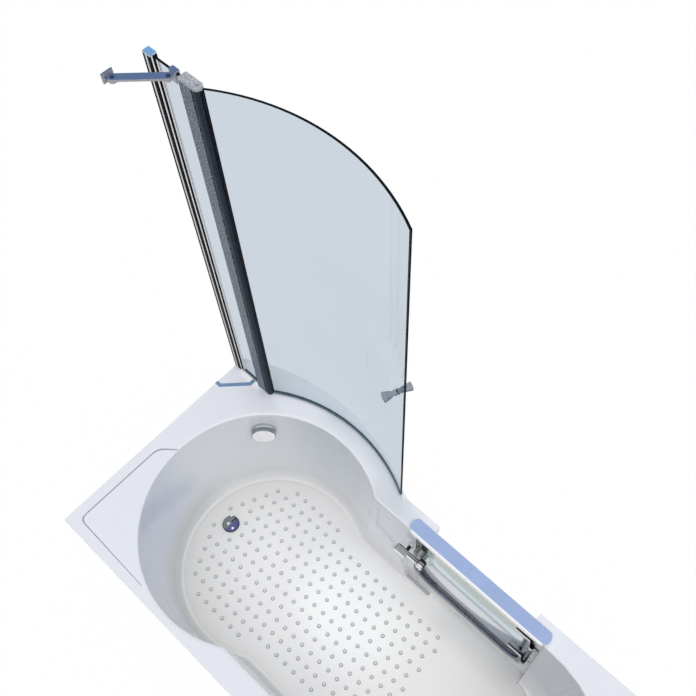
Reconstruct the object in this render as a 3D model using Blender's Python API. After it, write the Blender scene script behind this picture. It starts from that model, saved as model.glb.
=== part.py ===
"""Shower bath with a curved pivoting glass screen and an inward opening bath door.

Metres, +Z up, standing on Z = 0. The back edge faces +Y, the front -Y, the shower end +X, the foot end -X.
Plan places are (along, across): along runs from the shower end towards the foot end, across from the back
edge towards the front. spot() turns them into X and Y.
"""

from math import acos, atan, atan2, cos, hypot, pi, radians, sin, sqrt, tan

import bmesh
import bpy
from mathutils import Matrix, Vector

# Fits: the gap between pieces that touch, the play of turning pieces, and the overrun of every cut
SEAT_GAP = 0.0003
TURN_PLAY = 0.0005
CUT_OVERRUN = 0.012

# Outer outline of the rim: a narrow lying end, and a shower end that swells past it
BATH_LENGTH = 1.700
NARROW_WIDTH = 0.750
BULGE_DEPTH = 0.100
BULGE_LENGTH = 0.730
BULGE_BLEND_RADIUS = 0.050
CORNER_RADIUS = 0.0065

# Moulded shell
BATH_DEPTH = 0.434
SHELL_THICKNESS = 0.006
DECK_THICKNESS = 0.008
LIP_HEIGHT = 0.040
LIP_THICKNESS = 0.006
RIM_EDGE_RADIUS = 0.003
INNER_EDGE_RADIUS = 0.010
COVE_HEIGHT = 0.045
FLOOR_GROOVE_SET = 0.002
FLOOR_GROOVE_WIDTH = 0.005
FLOOR_GROOVE_DEPTH = 0.0015
WALL_TAPER_SHARE = 0.55

# Inner outline of the tub: ledges at the rim, and how far each wall leans in by the floor
BACK_LEDGE = 0.024
END_LEDGE = 0.087
FRONT_RIM = 0.067
BACK_RIM = 0.074
FOOT_RIM = 0.060
SHOWER_TAPER = 0.059
FRONT_TAPER = 0.033
BACK_TAPER = 0.050
BACKREST_RUN = 0.230
FOOT_CURVE_LENGTH = 0.330
FOOT_CURVE_SHARE = 2 / 2.3

# Sunken soap deck in the back corner of the shower end
DECK_POCKET_DEPTH = 0.003
DECK_POCKET_MARGIN = 0.034
DECK_POCKET_CORNER = 0.022
DECK_POCKET_EDGE = 0.0035
DECK_POCKET_EDGE_DEPTH = 0.0015
DECK_POCKET_FACE = 0.043

# Strip across the front corner of the deck
DRIP_RAIL_WIDTH = 0.011
DRIP_RAIL_SET = 0.0015
DRIP_RAIL_PROUD = 0.002
DRIP_RAIL_FROM_FRONT = 0.122
DRIP_RAIL_HOOK = 0.018
DRIP_RAIL_RUN = 0.070

# Door portal: a rebate that the door sits in, a stop that it closes on, and the way through
DOOR_REVEAL = 0.069
DOOR_LATCH_MARGIN = 0.170
DOOR_HINGE_MARGIN = 0.031
DOOR_CORNER_RADIUS = 0.075
DOOR_SILL = 0.018
STOP_WIDTH = 0.034
PORTAL_WALL = 0.020
RECESS_MARGIN = 0.0265
RECESS_EDGE = 0.010
RECESS_EDGE_SHARES = (
    (0.0, 0.835),
    (0.057, 0.823),
    (0.149, 0.785),
    (0.241, 0.705),
    (0.305, 0.570),
    (0.370, 0.423),
    (0.414, 0.270),
    (0.444, 0.146),
    (0.483, 0.035),
    (0.609, 0.023),
)
RECESS_STRIP_LENGTH = 0.099
RECESS_STRIP_WIDTH = 0.011
RECESS_STRIP_HEIGHT = 0.007
RECESS_STRIP_CORNER = 0.002
RECESS_STRIP_END_GAP = 0.002
RECESS_STRIP_WALL_GAP = 0.007

# Bath door
DOOR_SET_BACK = 0.0055
DOOR_FRAME_DEPTH = 0.0154
DOOR_FRAME_WIDTH = 0.016
DOOR_FRAME_GROOVE = 0.007
DOOR_GLASS_THICKNESS = 0.006
DOOR_CLEARANCE = 0.003
GASKET_THICKNESS = 0.004
GASKET_WIDTH = 0.024
GASKET_INSET = 0.005
TOP_BAR_LIFT = 0.0015
TOP_BAR_THICKNESS = 0.018
TOP_BAR_WIDTH = 0.049
TOP_BAR_LOBE_RADIUS = 0.0265
TOP_BAR_OVERHANG = 0.035
TOP_BAR_FROM_WALL = 0.0065
TOP_BAR_EDGE = 0.002

# Door hinge
PIN_RADIUS = 0.004
PIN_HEAD_RADIUS = 0.0068
PIN_HEAD_HEIGHT = 0.004
PIN_SETBACK = 0.002
KNUCKLE_RADIUS = 0.008
KNUCKLE_WALL_GAP = 0.0015
HINGE_ARM_HEIGHT = 0.022
HINGE_ARM_LENGTH = 0.066
HINGE_ARM_THICKNESS = 0.005
HINGE_LOW_SHARE = 0.345
HINGE_HIGH_SHARE = 0.84
BRACKET_THICKNESS = 0.003
BRACKET_KNUCKLE_HEIGHT = 0.018
BRACKET_WIDTH = 0.018
BRACKET_SCREW_RADIUS = 0.0035
BRACKET_SCREW_HEIGHT = 0.0015

# Latch
LATCH_HEIGHT_SHARE = 0.70
LATCH_INSET = 0.046
LATCH_BODY_WIDTH = 0.052
LATCH_BODY_HEIGHT = 0.046
LATCH_BODY_DEPTH = 0.018
LATCH_BODY_CORNER = 0.008
LEVER_HUB_RADIUS = 0.013
LEVER_HUB_DEPTH = 0.026
LEVER_ARM_HEIGHT = 0.009
LEVER_ARM_THICKNESS = 0.014
LEVER_LENGTH = 0.0986
PADDLE_LENGTH = 0.044
PADDLE_WIDTH = 0.027
PADDLE_SET = 0.0045
PADDLE_THICKNESS = 0.0055
PADDLE_CORNER = 0.006
SPINDLE_RADIUS = 0.005
SPINDLE_LENGTH = 0.012
LATCH_BOSS_RADIUS = 0.006
LATCH_BOSS_REACH = 0.064
KEEPER_WIDTH = 0.019
KEEPER_HEIGHT = 0.034
KEEPER_THICKNESS = 0.004

# Waste in the floor
WASTE_FROM_END = 0.239
WASTE_HOLE_RADIUS = 0.0245
FLANGE_RADIUS = 0.035
FLANGE_PROUD = 0.002
FLANGE_TAIL_RADIUS = 0.0238
FLANGE_BORE_RADIUS = 0.0205
FLANGE_TAIL_LENGTH = 0.028
PLUG_RADIUS = 0.030
PLUG_EDGE = 0.002
PLUG_DOME = 0.007
PLUG_STEM_RADIUS = 0.004
PLUG_STEM_LENGTH = 0.024
PLUG_LIFT = 0.010
WASTE_BODY_RADIUS = 0.044
WASTE_POCKET_DEPTH = 0.030
WASTE_BODY_HEIGHT = 0.052
WASTE_INLET_RADIUS = 0.0165
WASTE_INLET_REACH = 0.078
TRAP_RADIUS = 0.040
TRAP_BOTTOM = 0.014
TRAP_OUTLET_RADIUS = 0.019
TRAP_OUTLET_TO_END = 0.030

# Overflow high on the shower wall
OVERFLOW_DROP = 0.098
OVERFLOW_BEARING = 45.0
OVERFLOW_HOLE_RADIUS = 0.0235
OVERFLOW_BODY_RADIUS = 0.043
OVERFLOW_BODY_PROUD = 0.013
OVERFLOW_KNOB_RADIUS = 0.040
OVERFLOW_KNOB_THICKNESS = 0.014
OVERFLOW_EDGE = 0.002
OVERFLOW_POCKET = 0.004
OVERFLOW_SPINDLE_RADIUS = 0.0055
OVERFLOW_NOTCH_RADIUS = 0.007
OVERFLOW_TURN = 90.0
ELBOW_FLANGE_RADIUS = 0.032
ELBOW_FLANGE_THICKNESS = 0.006
ELBOW_BODY_RADIUS = 0.025
ELBOW_BODY_LENGTH = 0.036
ELBOW_DROP = 0.052
ELBOW_PIPE_RADIUS = 0.018
PIPE_RADIUS = 0.015
PIPE_BEND = 0.045
PIPE_STRAIGHT = 0.100

# Support under the floor
BOARD_THICKNESS = 0.015
BOARD_INSET = 0.020
BOARD_HOLE_CLEARANCE = 0.008
RAIL_WIDTH = 0.040
RAIL_HEIGHT = 0.025
RAIL_THICKNESS = 0.0025
RAIL_EDGE = 0.072
RAIL_WASTE_CLEARANCE = 0.0455
LAST_RAIL_PAST = 0.050
LEG_EDGE = 0.097
LEG_SPACE = 0.0889
STUD_RADIUS = 0.005
NUT_RADIUS = 0.0095
NUT_HEIGHT = 0.007
PAD_RADIUS = 0.024
PAD_TOP_RADIUS = 0.011
PAD_HEIGHT = 0.030
PAD_RIM_HEIGHT = 0.006
PAD_SOLE = 0.006

# Front panel
PANEL_THICKNESS = 0.004
PANEL_FLOOR_GAP = 0.008

# Screen: a fixed strip of glass on the end wall, a post, and the curved glass that swings on it
SCREEN_HEIGHT = 1.392
SCREEN_GLASS = 0.006
SCREEN_LINE = 0.0265
PROFILE_REACH = 0.025
PROFILE_WIDTH = 0.018
PROFILE_GROOVE = 0.017
PROFILE_CAP = 0.004
FIXED_GLASS_LIFT = 0.007
FIXED_SEAL_WIDTH = 0.010
FIXED_GLASS_DROP = 0.0025
POST_START = 0.1126
POST_WIDTH = 0.025
POST_GROOVE = 0.012
POST_CORNER = 0.003
POST_HORN = 0.009
POST_CAP = 0.006
PIVOT_ALONG = 0.1595
PIVOT_SLOT_START = 0.0045
PIVOT_PIN_RADIUS = 0.003
PIVOT_PIN_LENGTH = 0.004
SCREEN_CHORD = 0.5516
SCREEN_RADIUS = 0.533
SCREEN_CHORD_ANGLE = 2.4
SCREEN_GLASS_LIFT = 0.012
SCREEN_GLASS_DROP = 0.0075
SEAL_LIFT = 0.001
SEAL_START = 0.0145
SEAL_WIDTH = 0.008

# Screen knob
KNOB_HEIGHT = 0.628
KNOB_FROM_EDGE = 0.048
KNOB_HOLE_RADIUS = 0.006
KNOB_STEM_RADIUS = 0.004
KNOB_NECK_RADIUS = 0.0065
KNOB_INNER_RADIUS = 0.015
KNOB_OUTER_RADIUS = 0.0125
KNOB_INNER_LENGTH = 0.036
KNOB_OUTER_LENGTH = 0.038
KNOB_SEAT_RADIUS = 0.009
KNOB_SEAT_LENGTH = 0.004
KNOB_EDGE = 0.0015
KNOB_STEM_DEPTH = 0.014

# Brace from the end wall to the fixed glass
BRACE_CLAMP_ALONG = 0.0935
BRACE_CLAMP_LENGTH = 0.030
BRACE_CLAMP_WIDTH = 0.014
BRACE_CLAMP_HOLD = 0.026
BRACE_CLAMP_ABOVE = 0.006
BRACE_BAR_WIDTH = 0.019
BRACE_BAR_THICKNESS = 0.006
BRACE_LUG_THICKNESS = 0.005
BRACE_LUG_OUT = 0.023
BRACE_LUG_ALONG = 0.007
BRACE_PLATE_WIDTH = 0.028
BRACE_PLATE_HEIGHT = 0.026
BRACE_PLATE_THICKNESS = 0.004
BRACE_WALL_ACROSS = 0.094
BRACE_WALL_OUT = 0.019
BRACE_SCREW_RADIUS = 0.003
BRACE_SCREW_HEAD = 0.005
BRACE_SCREW_HEAD_HEIGHT = 0.0025

# How finely round shapes are divided
SHOWER_STEPS = 48
FOOT_STEPS = 18
BULGE_STEPS = 22
BLEND_STEPS = 5
CORNER_STEPS = 3
ROUND_STEPS = 3
COVE_STEPS = 4
RECESS_STEPS = 5
DOOR_CORNER_STEPS = 8
LOBE_STEPS = 12
SCREEN_STEPS = 26
POST_ARC_STEPS = 14
TURN_STEPS = 24
SMALL_TURN_STEPS = 14
PIPE_BEND_STEPS = 6
HEX = 6

# Sizes and places that follow
FULL_WIDTH = NARROW_WIDTH + BULGE_DEPTH
RAIL_TOP = LEG_SPACE + RAIL_HEIGHT
BOARD_BOTTOM = RAIL_TOP + SEAT_GAP
SHELL_BOTTOM = BOARD_BOTTOM + BOARD_THICKNESS + SEAT_GAP
FLOOR = SHELL_BOTTOM + SHELL_THICKNESS
RIM = FLOOR + BATH_DEPTH
SCREEN_TOP = RIM + SCREEN_HEIGHT

SHOWER_RADIUS = (NARROW_WIDTH - BACK_LEDGE) / 2
SHOWER_ALONG = END_LEDGE + SHOWER_RADIUS
SHOWER_ACROSS = BACK_LEDGE + SHOWER_RADIUS
FRONT_WALL = NARROW_WIDTH - FRONT_RIM
FOOT_END = BATH_LENGTH - FOOT_RIM
FOOT_CURVE_START = FOOT_END - FOOT_CURVE_LENGTH
FIRST_RAIL = WASTE_FROM_END + WASTE_BODY_RADIUS + RAIL_WASTE_CLEARANCE + RAIL_WIDTH / 2
LAST_RAIL = FOOT_CURVE_START + LAST_RAIL_PAST
RAIL_PLACES = (FIRST_RAIL, (FIRST_RAIL + LAST_RAIL) / 2, LAST_RAIL)
FRONT_CUSP = SHOWER_ALONG + sqrt(SHOWER_RADIUS**2 - (FRONT_WALL - SHOWER_ACROSS) ** 2)

BULGE_RADIUS = ((BULGE_LENGTH / 2) ** 2 + BULGE_DEPTH**2) / (2 * BULGE_DEPTH)
BULGE_ALONG = BULGE_LENGTH / 2
BULGE_ACROSS = FULL_WIDTH - BULGE_RADIUS
BLEND_ACROSS = NARROW_WIDTH + BULGE_BLEND_RADIUS
BLEND_REACH = BULGE_RADIUS + BULGE_BLEND_RADIUS
BLEND_ALONG = BULGE_ALONG + sqrt(BLEND_REACH**2 - (BLEND_ACROSS - BULGE_ACROSS) ** 2)

DOOR_PLANE = NARROW_WIDTH - DOOR_REVEAL
REBATE_START = FRONT_CUSP + DOOR_LATCH_MARGIN
REBATE_END = FOOT_CURVE_START - DOOR_HINGE_MARGIN
RECESS_END = REBATE_END + RECESS_MARGIN
DOOR_BACK = DOOR_PLANE + DOOR_SET_BACK
DOOR_FRONT = DOOR_BACK + DOOR_FRAME_DEPTH
GASKET_BACK = DOOR_FRONT + SEAT_GAP
STOP_FACE = GASKET_BACK + GASKET_THICKNESS + SEAT_GAP
PANEL_FRONT = NARROW_WIDTH - LIP_THICKNESS - SEAT_GAP
PORTAL_FACE = PANEL_FRONT - PANEL_THICKNESS - SEAT_GAP
TOP_BAR_BOTTOM = RIM + TOP_BAR_LIFT
DOOR_FRAME_TOP = TOP_BAR_BOTTOM - SEAT_GAP

PIN_ALONG = REBATE_END + PIN_SETBACK
PIN_ACROSS = DOOR_PLANE - KNUCKLE_WALL_GAP - KNUCKLE_RADIUS
HINGE_LOW = FLOOR + HINGE_LOW_SHARE * BATH_DEPTH
HINGE_HIGH = FLOOR + HINGE_HIGH_SHARE * BATH_DEPTH
LATCH_ALONG = REBATE_START + LATCH_INSET
LATCH_UP = FLOOR + LATCH_HEIGHT_SHARE * BATH_DEPTH
LATCH_BODY_BACK = DOOR_BACK - SEAT_GAP - LATCH_BODY_DEPTH
LEVER_FRONT = LATCH_BODY_BACK - SEAT_GAP

SCREEN_ACROSS = NARROW_WIDTH - SCREEN_LINE
PIVOT_RADIUS = POST_WIDTH / 2
CHORD_ANGLE = radians(SCREEN_CHORD_ANGLE)
SCREEN_SAG = SCREEN_RADIUS - sqrt(SCREEN_RADIUS**2 - (SCREEN_CHORD / 2) ** 2)
SCREEN_CENTRE_ALONG = (
    PIVOT_ALONG
    + SCREEN_CHORD / 2 * cos(CHORD_ANGLE)
    + (SCREEN_RADIUS - SCREEN_SAG) * sin(CHORD_ANGLE)
)
SCREEN_CENTRE_ACROSS = (
    SCREEN_ACROSS
    + SCREEN_CHORD / 2 * sin(CHORD_ANGLE)
    - (SCREEN_RADIUS - SCREEN_SAG) * cos(CHORD_ANGLE)
)
SCREEN_START_ANGLE = atan2(SCREEN_ACROSS - SCREEN_CENTRE_ACROSS, PIVOT_ALONG - SCREEN_CENTRE_ALONG)
SCREEN_SPAN = 2 * atan2(SCREEN_CHORD / 2, SCREEN_RADIUS - SCREEN_SAG)
SCREEN_GLASS_BOTTOM = RIM + SCREEN_GLASS_LIFT
SCREEN_GLASS_TOP = SCREEN_TOP - SCREEN_GLASS_DROP
KNOB_UP = RIM + KNOB_HEIGHT

WASTE_ACROSS = SHOWER_ACROSS
WASTE_BODY_TOP = SHELL_BOTTOM - SEAT_GAP
WASTE_BODY_BOTTOM = WASTE_BODY_TOP - WASTE_BODY_HEIGHT
WASTE_INLET_UP = BOARD_BOTTOM - 2 * TURN_PLAY - WASTE_INLET_RADIUS
OVERFLOW_UP = RIM - OVERFLOW_DROP

# Colour, roughness and metallic value of each finish
FINISHES = {
    "acrylic": ((0.86, 0.87, 0.91), 0.12, 0.0),
    "chrome": ((0.62, 0.68, 0.78), 0.08, 1.0),
    "blue_chrome": ((0.36, 0.50, 0.74), 0.15, 1.0),
    "anodised": ((0.16, 0.18, 0.23), 0.35, 0.9),
    "speckled_cap": ((0.42, 0.43, 0.46), 0.5, 0.3),
    "glass": ((0.74, 0.80, 0.84), 0.03, 0.0),
    "rubber": ((0.02, 0.02, 0.02), 0.6, 0.0),
    "clear_seal": ((0.45, 0.55, 0.65), 0.3, 0.0),
    "white_plastic": ((0.82, 0.83, 0.85), 0.35, 0.0),
    "grey_plastic": ((0.30, 0.31, 0.33), 0.5, 0.0),
    "zinc": ((0.55, 0.56, 0.58), 0.4, 0.8),
    "board": ((0.42, 0.30, 0.18), 0.8, 0.0),
}
SMOOTH_ANGLE = radians(35)

for old in list(bpy.data.objects):
    bpy.data.objects.remove(old, do_unlink=True)


def spot(along, across, up):
    """World point of a plan place and a height."""
    return Vector((BATH_LENGTH / 2 - along, FULL_WIDTH / 2 - across, up))


def heading(along, across, up=0.0):
    """World direction of a direction in plan."""
    return Vector((-along, -across, up)).normalized()


# Making solids


def material(name, finish):
    colour, roughness, metallic = FINISHES[finish]
    made = bpy.data.materials.new(name + "_" + finish)
    made.use_nodes = True
    shader = made.node_tree.nodes["Principled BSDF"]
    shader.inputs["Base Color"].default_value = (*colour, 1.0)
    shader.inputs["Roughness"].default_value = roughness
    shader.inputs["Metallic"].default_value = metallic
    return made


def piece(name, bm, finish, origin=None):
    """An object from a mesh built in world coordinates, with its origin where it turns or sits."""
    origin = origin or Vector()
    bmesh.ops.recalc_face_normals(bm, faces=bm.faces)
    bmesh.ops.translate(bm, verts=bm.verts, vec=-origin)
    mesh = bpy.data.meshes.new(name)
    bm.to_mesh(mesh)
    bm.free()
    mesh.shade_smooth()
    mesh.set_sharp_from_angle(angle=SMOOTH_ANGLE)
    made = bpy.data.objects.new(name, mesh)
    made.location = origin
    bpy.context.scene.collection.objects.link(made)
    if finish:
        mesh.materials.append(material(name, finish))
    return made


def tool_piece(name, bm):
    """A shape that only cuts or adds to another."""
    made = piece(name, bm, None)
    made.hide_render = True
    made.display_type = "WIRE"
    return made


def combine(target, operation, *others):
    for other in others:
        modifier = target.modifiers.new(operation.lower() + "_" + other.name, "BOOLEAN")
        modifier.operation = operation
        modifier.solver = "EXACT"
        modifier.object = other


def skin(bm, rings, closed=False):
    """Faces between rings of vertices with equal counts, capped at both ends unless the rings close up."""
    count = len(rings[0])
    pairs = list(zip(rings, rings[1:]))
    if closed:
        pairs.append((rings[-1], rings[0]))
    for low, high in pairs:
        for i in range(count):
            j = (i + 1) % count
            bm.faces.new((low[i], low[j], high[j], high[i]))
    if not closed:
        bm.faces.new(list(reversed(rings[0])))
        bm.faces.new(rings[-1])


def loft(loops, closed=False):
    """Solid through loops of world points."""
    bm = bmesh.new()
    skin(bm, [[bm.verts.new(point) for point in loop] for loop in loops], closed)
    return bm


def level(outline, up):
    return [spot(along, across, up) for along, across in outline]


def upright(outline, low, high):
    """Prism of a plan outline between two heights."""
    return loft([level(outline, low), level(outline, high)])


def crosswise(outline, back, front):
    """Prism of an (along, up) outline between two across places."""
    return loft([[spot(along, across, up) for along, up in outline] for across in (front, back)])


def box(along, across, up):
    """Box from (low, high) pairs."""
    outline = [
        (along[0], across[0]),
        (along[1], across[0]),
        (along[1], across[1]),
        (along[0], across[1]),
    ]
    return upright(outline, *up)


def turned(profile, base, axis, steps=TURN_STEPS, closed=False):
    """Solid of a (radius, height) profile turned about an axis from base. A zero radius is a point."""
    frame = Matrix.Translation(base) @ axis.to_track_quat("Z", "Y").to_matrix().to_4x4()
    bm = bmesh.new()
    rings = []
    for radius, height in profile:
        angles = [2 * pi * i / steps for i in range(steps)] if radius else [0.0]
        rings.append(
            [bm.verts.new(frame @ Vector((radius * cos(a), radius * sin(a), height))) for a in angles]
        )
    pairs = list(zip(rings, rings[1:]))
    if closed:
        pairs.append((rings[-1], rings[0]))
    for low, high in pairs:
        for i in range(steps):
            j = (i + 1) % steps
            corners = [low[i % len(low)], low[j % len(low)], high[j % len(high)], high[i % len(high)]]
            bm.faces.new(list(dict.fromkeys(corners)))
    if not closed and len(rings[0]) > 1:
        bm.faces.new(list(reversed(rings[0])))
    if not closed and len(rings[-1]) > 1:
        bm.faces.new(rings[-1])
    return bm


def rod(radius, base, axis, length, steps=TURN_STEPS):
    return turned([(radius, 0.0), (radius, length)], base, axis, steps)


UP = Vector((0.0, 0.0, 1.0))
TO_FRONT = heading(0.0, 1.0)
TO_BACK = heading(0.0, -1.0)
TO_FOOT = heading(1.0, 0.0)


def arc(centre, radius, start, end, steps):
    """Points of a plan arc, angles in radians from along towards across."""
    turns = [start + (end - start) * i / steps for i in range(steps + 1)]
    return [(centre[0] + radius * cos(turn), centre[1] + radius * sin(turn)) for turn in turns]


def rounded_box(low, high, radius, steps=CORNER_STEPS):
    """Rectangle with rounded corners in any plane, from its low corner to its high one."""
    centres = [
        (high[0] - radius, low[1] + radius, -pi / 2),
        (high[0] - radius, high[1] - radius, 0.0),
        (low[0] + radius, high[1] - radius, pi / 2),
        (low[0] + radius, low[1] + radius, pi),
    ]
    points = []
    for a, b, start in centres:
        points += arc((a, b), radius, start, start + pi / 2, steps)
    return points


# Outlines of the bath


def bath_outline(inset):
    """Outer outline of the rim from the back corner of the shower end, drawn in by inset all round."""
    corner = CORNER_RADIUS - inset
    near, far = CORNER_RADIUS, BATH_LENGTH - CORNER_RADIUS
    points = arc((near, CORNER_RADIUS), corner, pi, 3 * pi / 2, CORNER_STEPS)
    points += arc((far, CORNER_RADIUS), corner, -pi / 2, 0.0, CORNER_STEPS)
    points += arc((far, NARROW_WIDTH - CORNER_RADIUS), corner, 0.0, pi / 2, CORNER_STEPS)
    return points + front_line(inset)


def front_line(inset):
    """The front edge from the lying end's straight run round the bulge to the shower end."""
    turn = atan2(BLEND_ACROSS - BULGE_ACROSS, BLEND_ALONG - BULGE_ALONG)
    radius = BULGE_RADIUS - inset
    end = acos((inset - BULGE_ALONG) / radius)
    points = arc((BLEND_ALONG, BLEND_ACROSS), BULGE_BLEND_RADIUS + inset, -pi / 2, turn - pi, BLEND_STEPS)
    return points[:-1] + arc((BULGE_ALONG, BULGE_ACROSS), radius, turn, end, BULGE_STEPS)


def tub_outline(lean_share, grow):
    """Inner outline of the tub. lean_share is 0 at the rim and 1 at the floor; grow widens it all round."""
    radius = SHOWER_RADIUS - SHOWER_TAPER * lean_share + grow
    front = FRONT_WALL - FRONT_TAPER * lean_share + grow
    back = BACK_RIM + BACK_TAPER * lean_share - grow
    foot = FOOT_END - BACKREST_RUN * lean_share + grow
    front_turn = atan2(front - SHOWER_ACROSS, sqrt(radius**2 - (front - SHOWER_ACROSS) ** 2))
    back_turn = atan2(back - SHOWER_ACROSS, sqrt(radius**2 - (back - SHOWER_ACROSS) ** 2))
    points = []
    for i in range(FOOT_STEPS + 1):
        angle = pi * i / FOOT_STEPS - pi / 2
        along_share = abs(cos(angle)) ** FOOT_CURVE_SHARE if 0 < i < FOOT_STEPS else 0.0
        side = 1 if angle > 0 else -1
        across_share = side * abs(sin(angle)) ** FOOT_CURVE_SHARE
        along = FOOT_CURVE_START + (foot - FOOT_CURVE_START) * along_share
        points.append((along, (front + back) / 2 + (front - back) / 2 * across_share))
    centre = (SHOWER_ALONG, SHOWER_ACROSS)
    return points + arc(centre, radius, front_turn, back_turn + 2 * pi, SHOWER_STEPS)


def lean_at(up):
    """Share of the lean that the wall has at a height above the cove."""
    return WALL_TAPER_SHARE * (RIM - up) / (BATH_DEPTH - COVE_HEIGHT)


def tub_levels(grow, round_edge):
    """World loops of the tub from its floor to above its rim."""
    loops = []
    for i in range(COVE_STEPS + 1):
        angle = pi / 2 * (1 - i / COVE_STEPS)
        lean = WALL_TAPER_SHARE + (1 - WALL_TAPER_SHARE) * (1 - cos(angle))
        up = FLOOR - grow + (COVE_HEIGHT + grow) * (1 - sin(angle))
        loops.append(level(tub_outline(lean, grow), up))
    if round_edge:
        for i in range(ROUND_STEPS + 1):
            angle = pi / 2 * (1 - i / ROUND_STEPS)
            up = RIM - INNER_EDGE_RADIUS * (1 - cos(angle))
            flare = INNER_EDGE_RADIUS * (1 - sin(angle))
            loops.append(level(tub_outline(lean_at(up), grow + flare), up))
        loops.append(level(tub_outline(0.0, grow + INNER_EDGE_RADIUS), RIM + CUT_OVERRUN))
    else:
        top = RIM - DECK_THICKNESS / 2
        loops.append(level(tub_outline(lean_at(top), grow), top))
    return loops


def door_outline(inset, top):
    """(along, up) outline of the door portal, drawn in by inset at the sides and the sill."""
    left, right = REBATE_START + inset, REBATE_END - inset
    low = FLOOR + DOOR_SILL + inset
    radius = DOOR_CORNER_RADIUS - inset
    points = [(left, top)]
    points += arc((left + radius, low + radius), radius, pi, 3 * pi / 2, DOOR_CORNER_STEPS)
    points += arc((right - radius, low + radius), radius, -pi / 2, 0.0, DOOR_CORNER_STEPS)
    return points + [(right, top)]


# Shell


def bath_shell():
    edge = RIM_EDGE_RADIUS
    deck_loops = [level(bath_outline(0.0), RIM - LIP_HEIGHT)]
    for i in range(ROUND_STEPS + 1):
        angle = pi / 2 * i / ROUND_STEPS
        deck_loops.append(level(bath_outline(edge * (1 - cos(angle))), RIM - edge * (1 - sin(angle))))
    shell = piece("bath_shell", loft(deck_loops), "acrylic")
    under_deck = tool_piece(
        "cut_under_deck",
        upright(bath_outline(LIP_THICKNESS), RIM - LIP_HEIGHT - CUT_OVERRUN, RIM - DECK_THICKNESS),
    )
    tub_body = tool_piece("tub_body", loft(tub_levels(SHELL_THICKNESS, False)))
    wall_foot = FRONT_WALL - FRONT_TAPER
    portal = tool_piece(
        "door_portal",
        crosswise(door_outline(-PORTAL_WALL, RIM - DECK_THICKNESS / 2), wall_foot, PORTAL_FACE),
    )
    cavity = tool_piece("tub_cavity", loft(tub_levels(0.0, True)))
    backing = tool_piece("recess_backing", loft(recess_levels(SHELL_THICKNESS)))
    recess = tool_piece("cut_door_recess", loft(recess_levels(0.0)))
    above = RIM + CUT_OVERRUN
    rebate = tool_piece("cut_rebate", crosswise(door_outline(0.0, above), wall_foot, STOP_FACE))
    doorway = tool_piece(
        "cut_doorway",
        crosswise(door_outline(STOP_WIDTH, above), STOP_FACE - CUT_OVERRUN, NARROW_WIDTH + CUT_OVERRUN),
    )
    drain = spot(WASTE_FROM_END, WASTE_ACROSS, SHELL_BOTTOM - CUT_OVERRUN)
    through_floor = SHELL_THICKNESS + 2 * CUT_OVERRUN
    waste_hole = tool_piece("cut_waste_hole", rod(WASTE_HOLE_RADIUS, drain, UP, through_floor))
    through = overflow_wall() - overflow_axis() * (SHELL_THICKNESS + CUT_OVERRUN)
    overflow_hole = tool_piece(
        "cut_overflow_hole",
        rod(OVERFLOW_HOLE_RADIUS, through, overflow_axis(), SHELL_THICKNESS + 2 * CUT_OVERRUN),
    )
    pocket = tool_piece("cut_deck_pocket", upright(pocket_outline(0.0), RIM - DECK_POCKET_DEPTH, above))
    groove_low = RIM - DRIP_RAIL_SET - SEAT_GAP
    groove = tool_piece("cut_drip_groove", upright(drip_rail_outline(SEAT_GAP), groove_low, above))
    combine(shell, "DIFFERENCE", under_deck)
    combine(shell, "UNION", tub_body, backing, portal)
    combine(shell, "DIFFERENCE", cavity, recess, rebate, doorway, waste_hole, overflow_hole)
    combine(shell, "DIFFERENCE", pocket, groove, pocket_edge(), floor_groove())
    return shell


def recess_levels(grow):
    """The upright face that the door sits in, cut into the leaning wall, with a sloped edge towards the latch.

    grow is 0 for the face itself, and the shell's thickness for the solid behind it.
    """
    lean_out = FRONT_WALL - FRONT_TAPER
    inside = lean_out - FRONT_TAPER
    loops = []
    for height_share, place_share in RECESS_EDGE_SHARES:
        up = FLOOR - grow + (BATH_DEPTH + grow) * height_share
        begin = FRONT_CUSP + DOOR_LATCH_MARGIN * place_share - grow
        loops.append(recess_level(begin, inside, lean_out, up, grow))
    top = RIM - DECK_THICKNESS / 2 if grow else RIM + CUT_OVERRUN
    loops.append(recess_level(begin, inside, lean_out, top, grow))
    return loops


def recess_level(begin, inside, lean_out, up, grow):
    end = RECESS_END + grow
    points = [(begin, inside), (end, inside), (end, DOOR_PLANE + grow)]
    for i in range(RECESS_STEPS + 1):
        share = 1 - i / RECESS_STEPS
        ease = share * share * (3 - 2 * share)
        points.append((begin + RECESS_EDGE * share, lean_out + (DOOR_PLANE - lean_out) * ease + grow))
    return level(points, up)


def pocket_outline(inset):
    """Sunken deck in the back corner, open to the tub."""
    near = DECK_POCKET_MARGIN + inset
    corners = [
        (END_LEDGE, SHOWER_ACROSS - inset),
        (near, SHOWER_ACROSS - DECK_POCKET_FACE - inset),
        (near, near),
        (SHOWER_ALONG - SHOWER_RADIUS / 3, BACK_LEDGE + (near - BACK_LEDGE) / 2),
    ]
    path = rounded_path([Vector(corner) for corner in corners], DECK_POCKET_CORNER)
    return [(SHOWER_ALONG, SHOWER_ACROSS)] + [tuple(point) for point in path]


def pocket_edge():
    """Groove that follows the border of the sunken deck."""
    low = RIM - DECK_POCKET_DEPTH - DECK_POCKET_EDGE_DEPTH
    edge = tool_piece("cut_pocket_edge", upright(pocket_outline(0.0), low, RIM))
    middle = upright(pocket_outline(DECK_POCKET_EDGE), low - CUT_OVERRUN, RIM + CUT_OVERRUN)
    combine(edge, "DIFFERENCE", tool_piece("pocket_middle", middle))
    return edge


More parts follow.
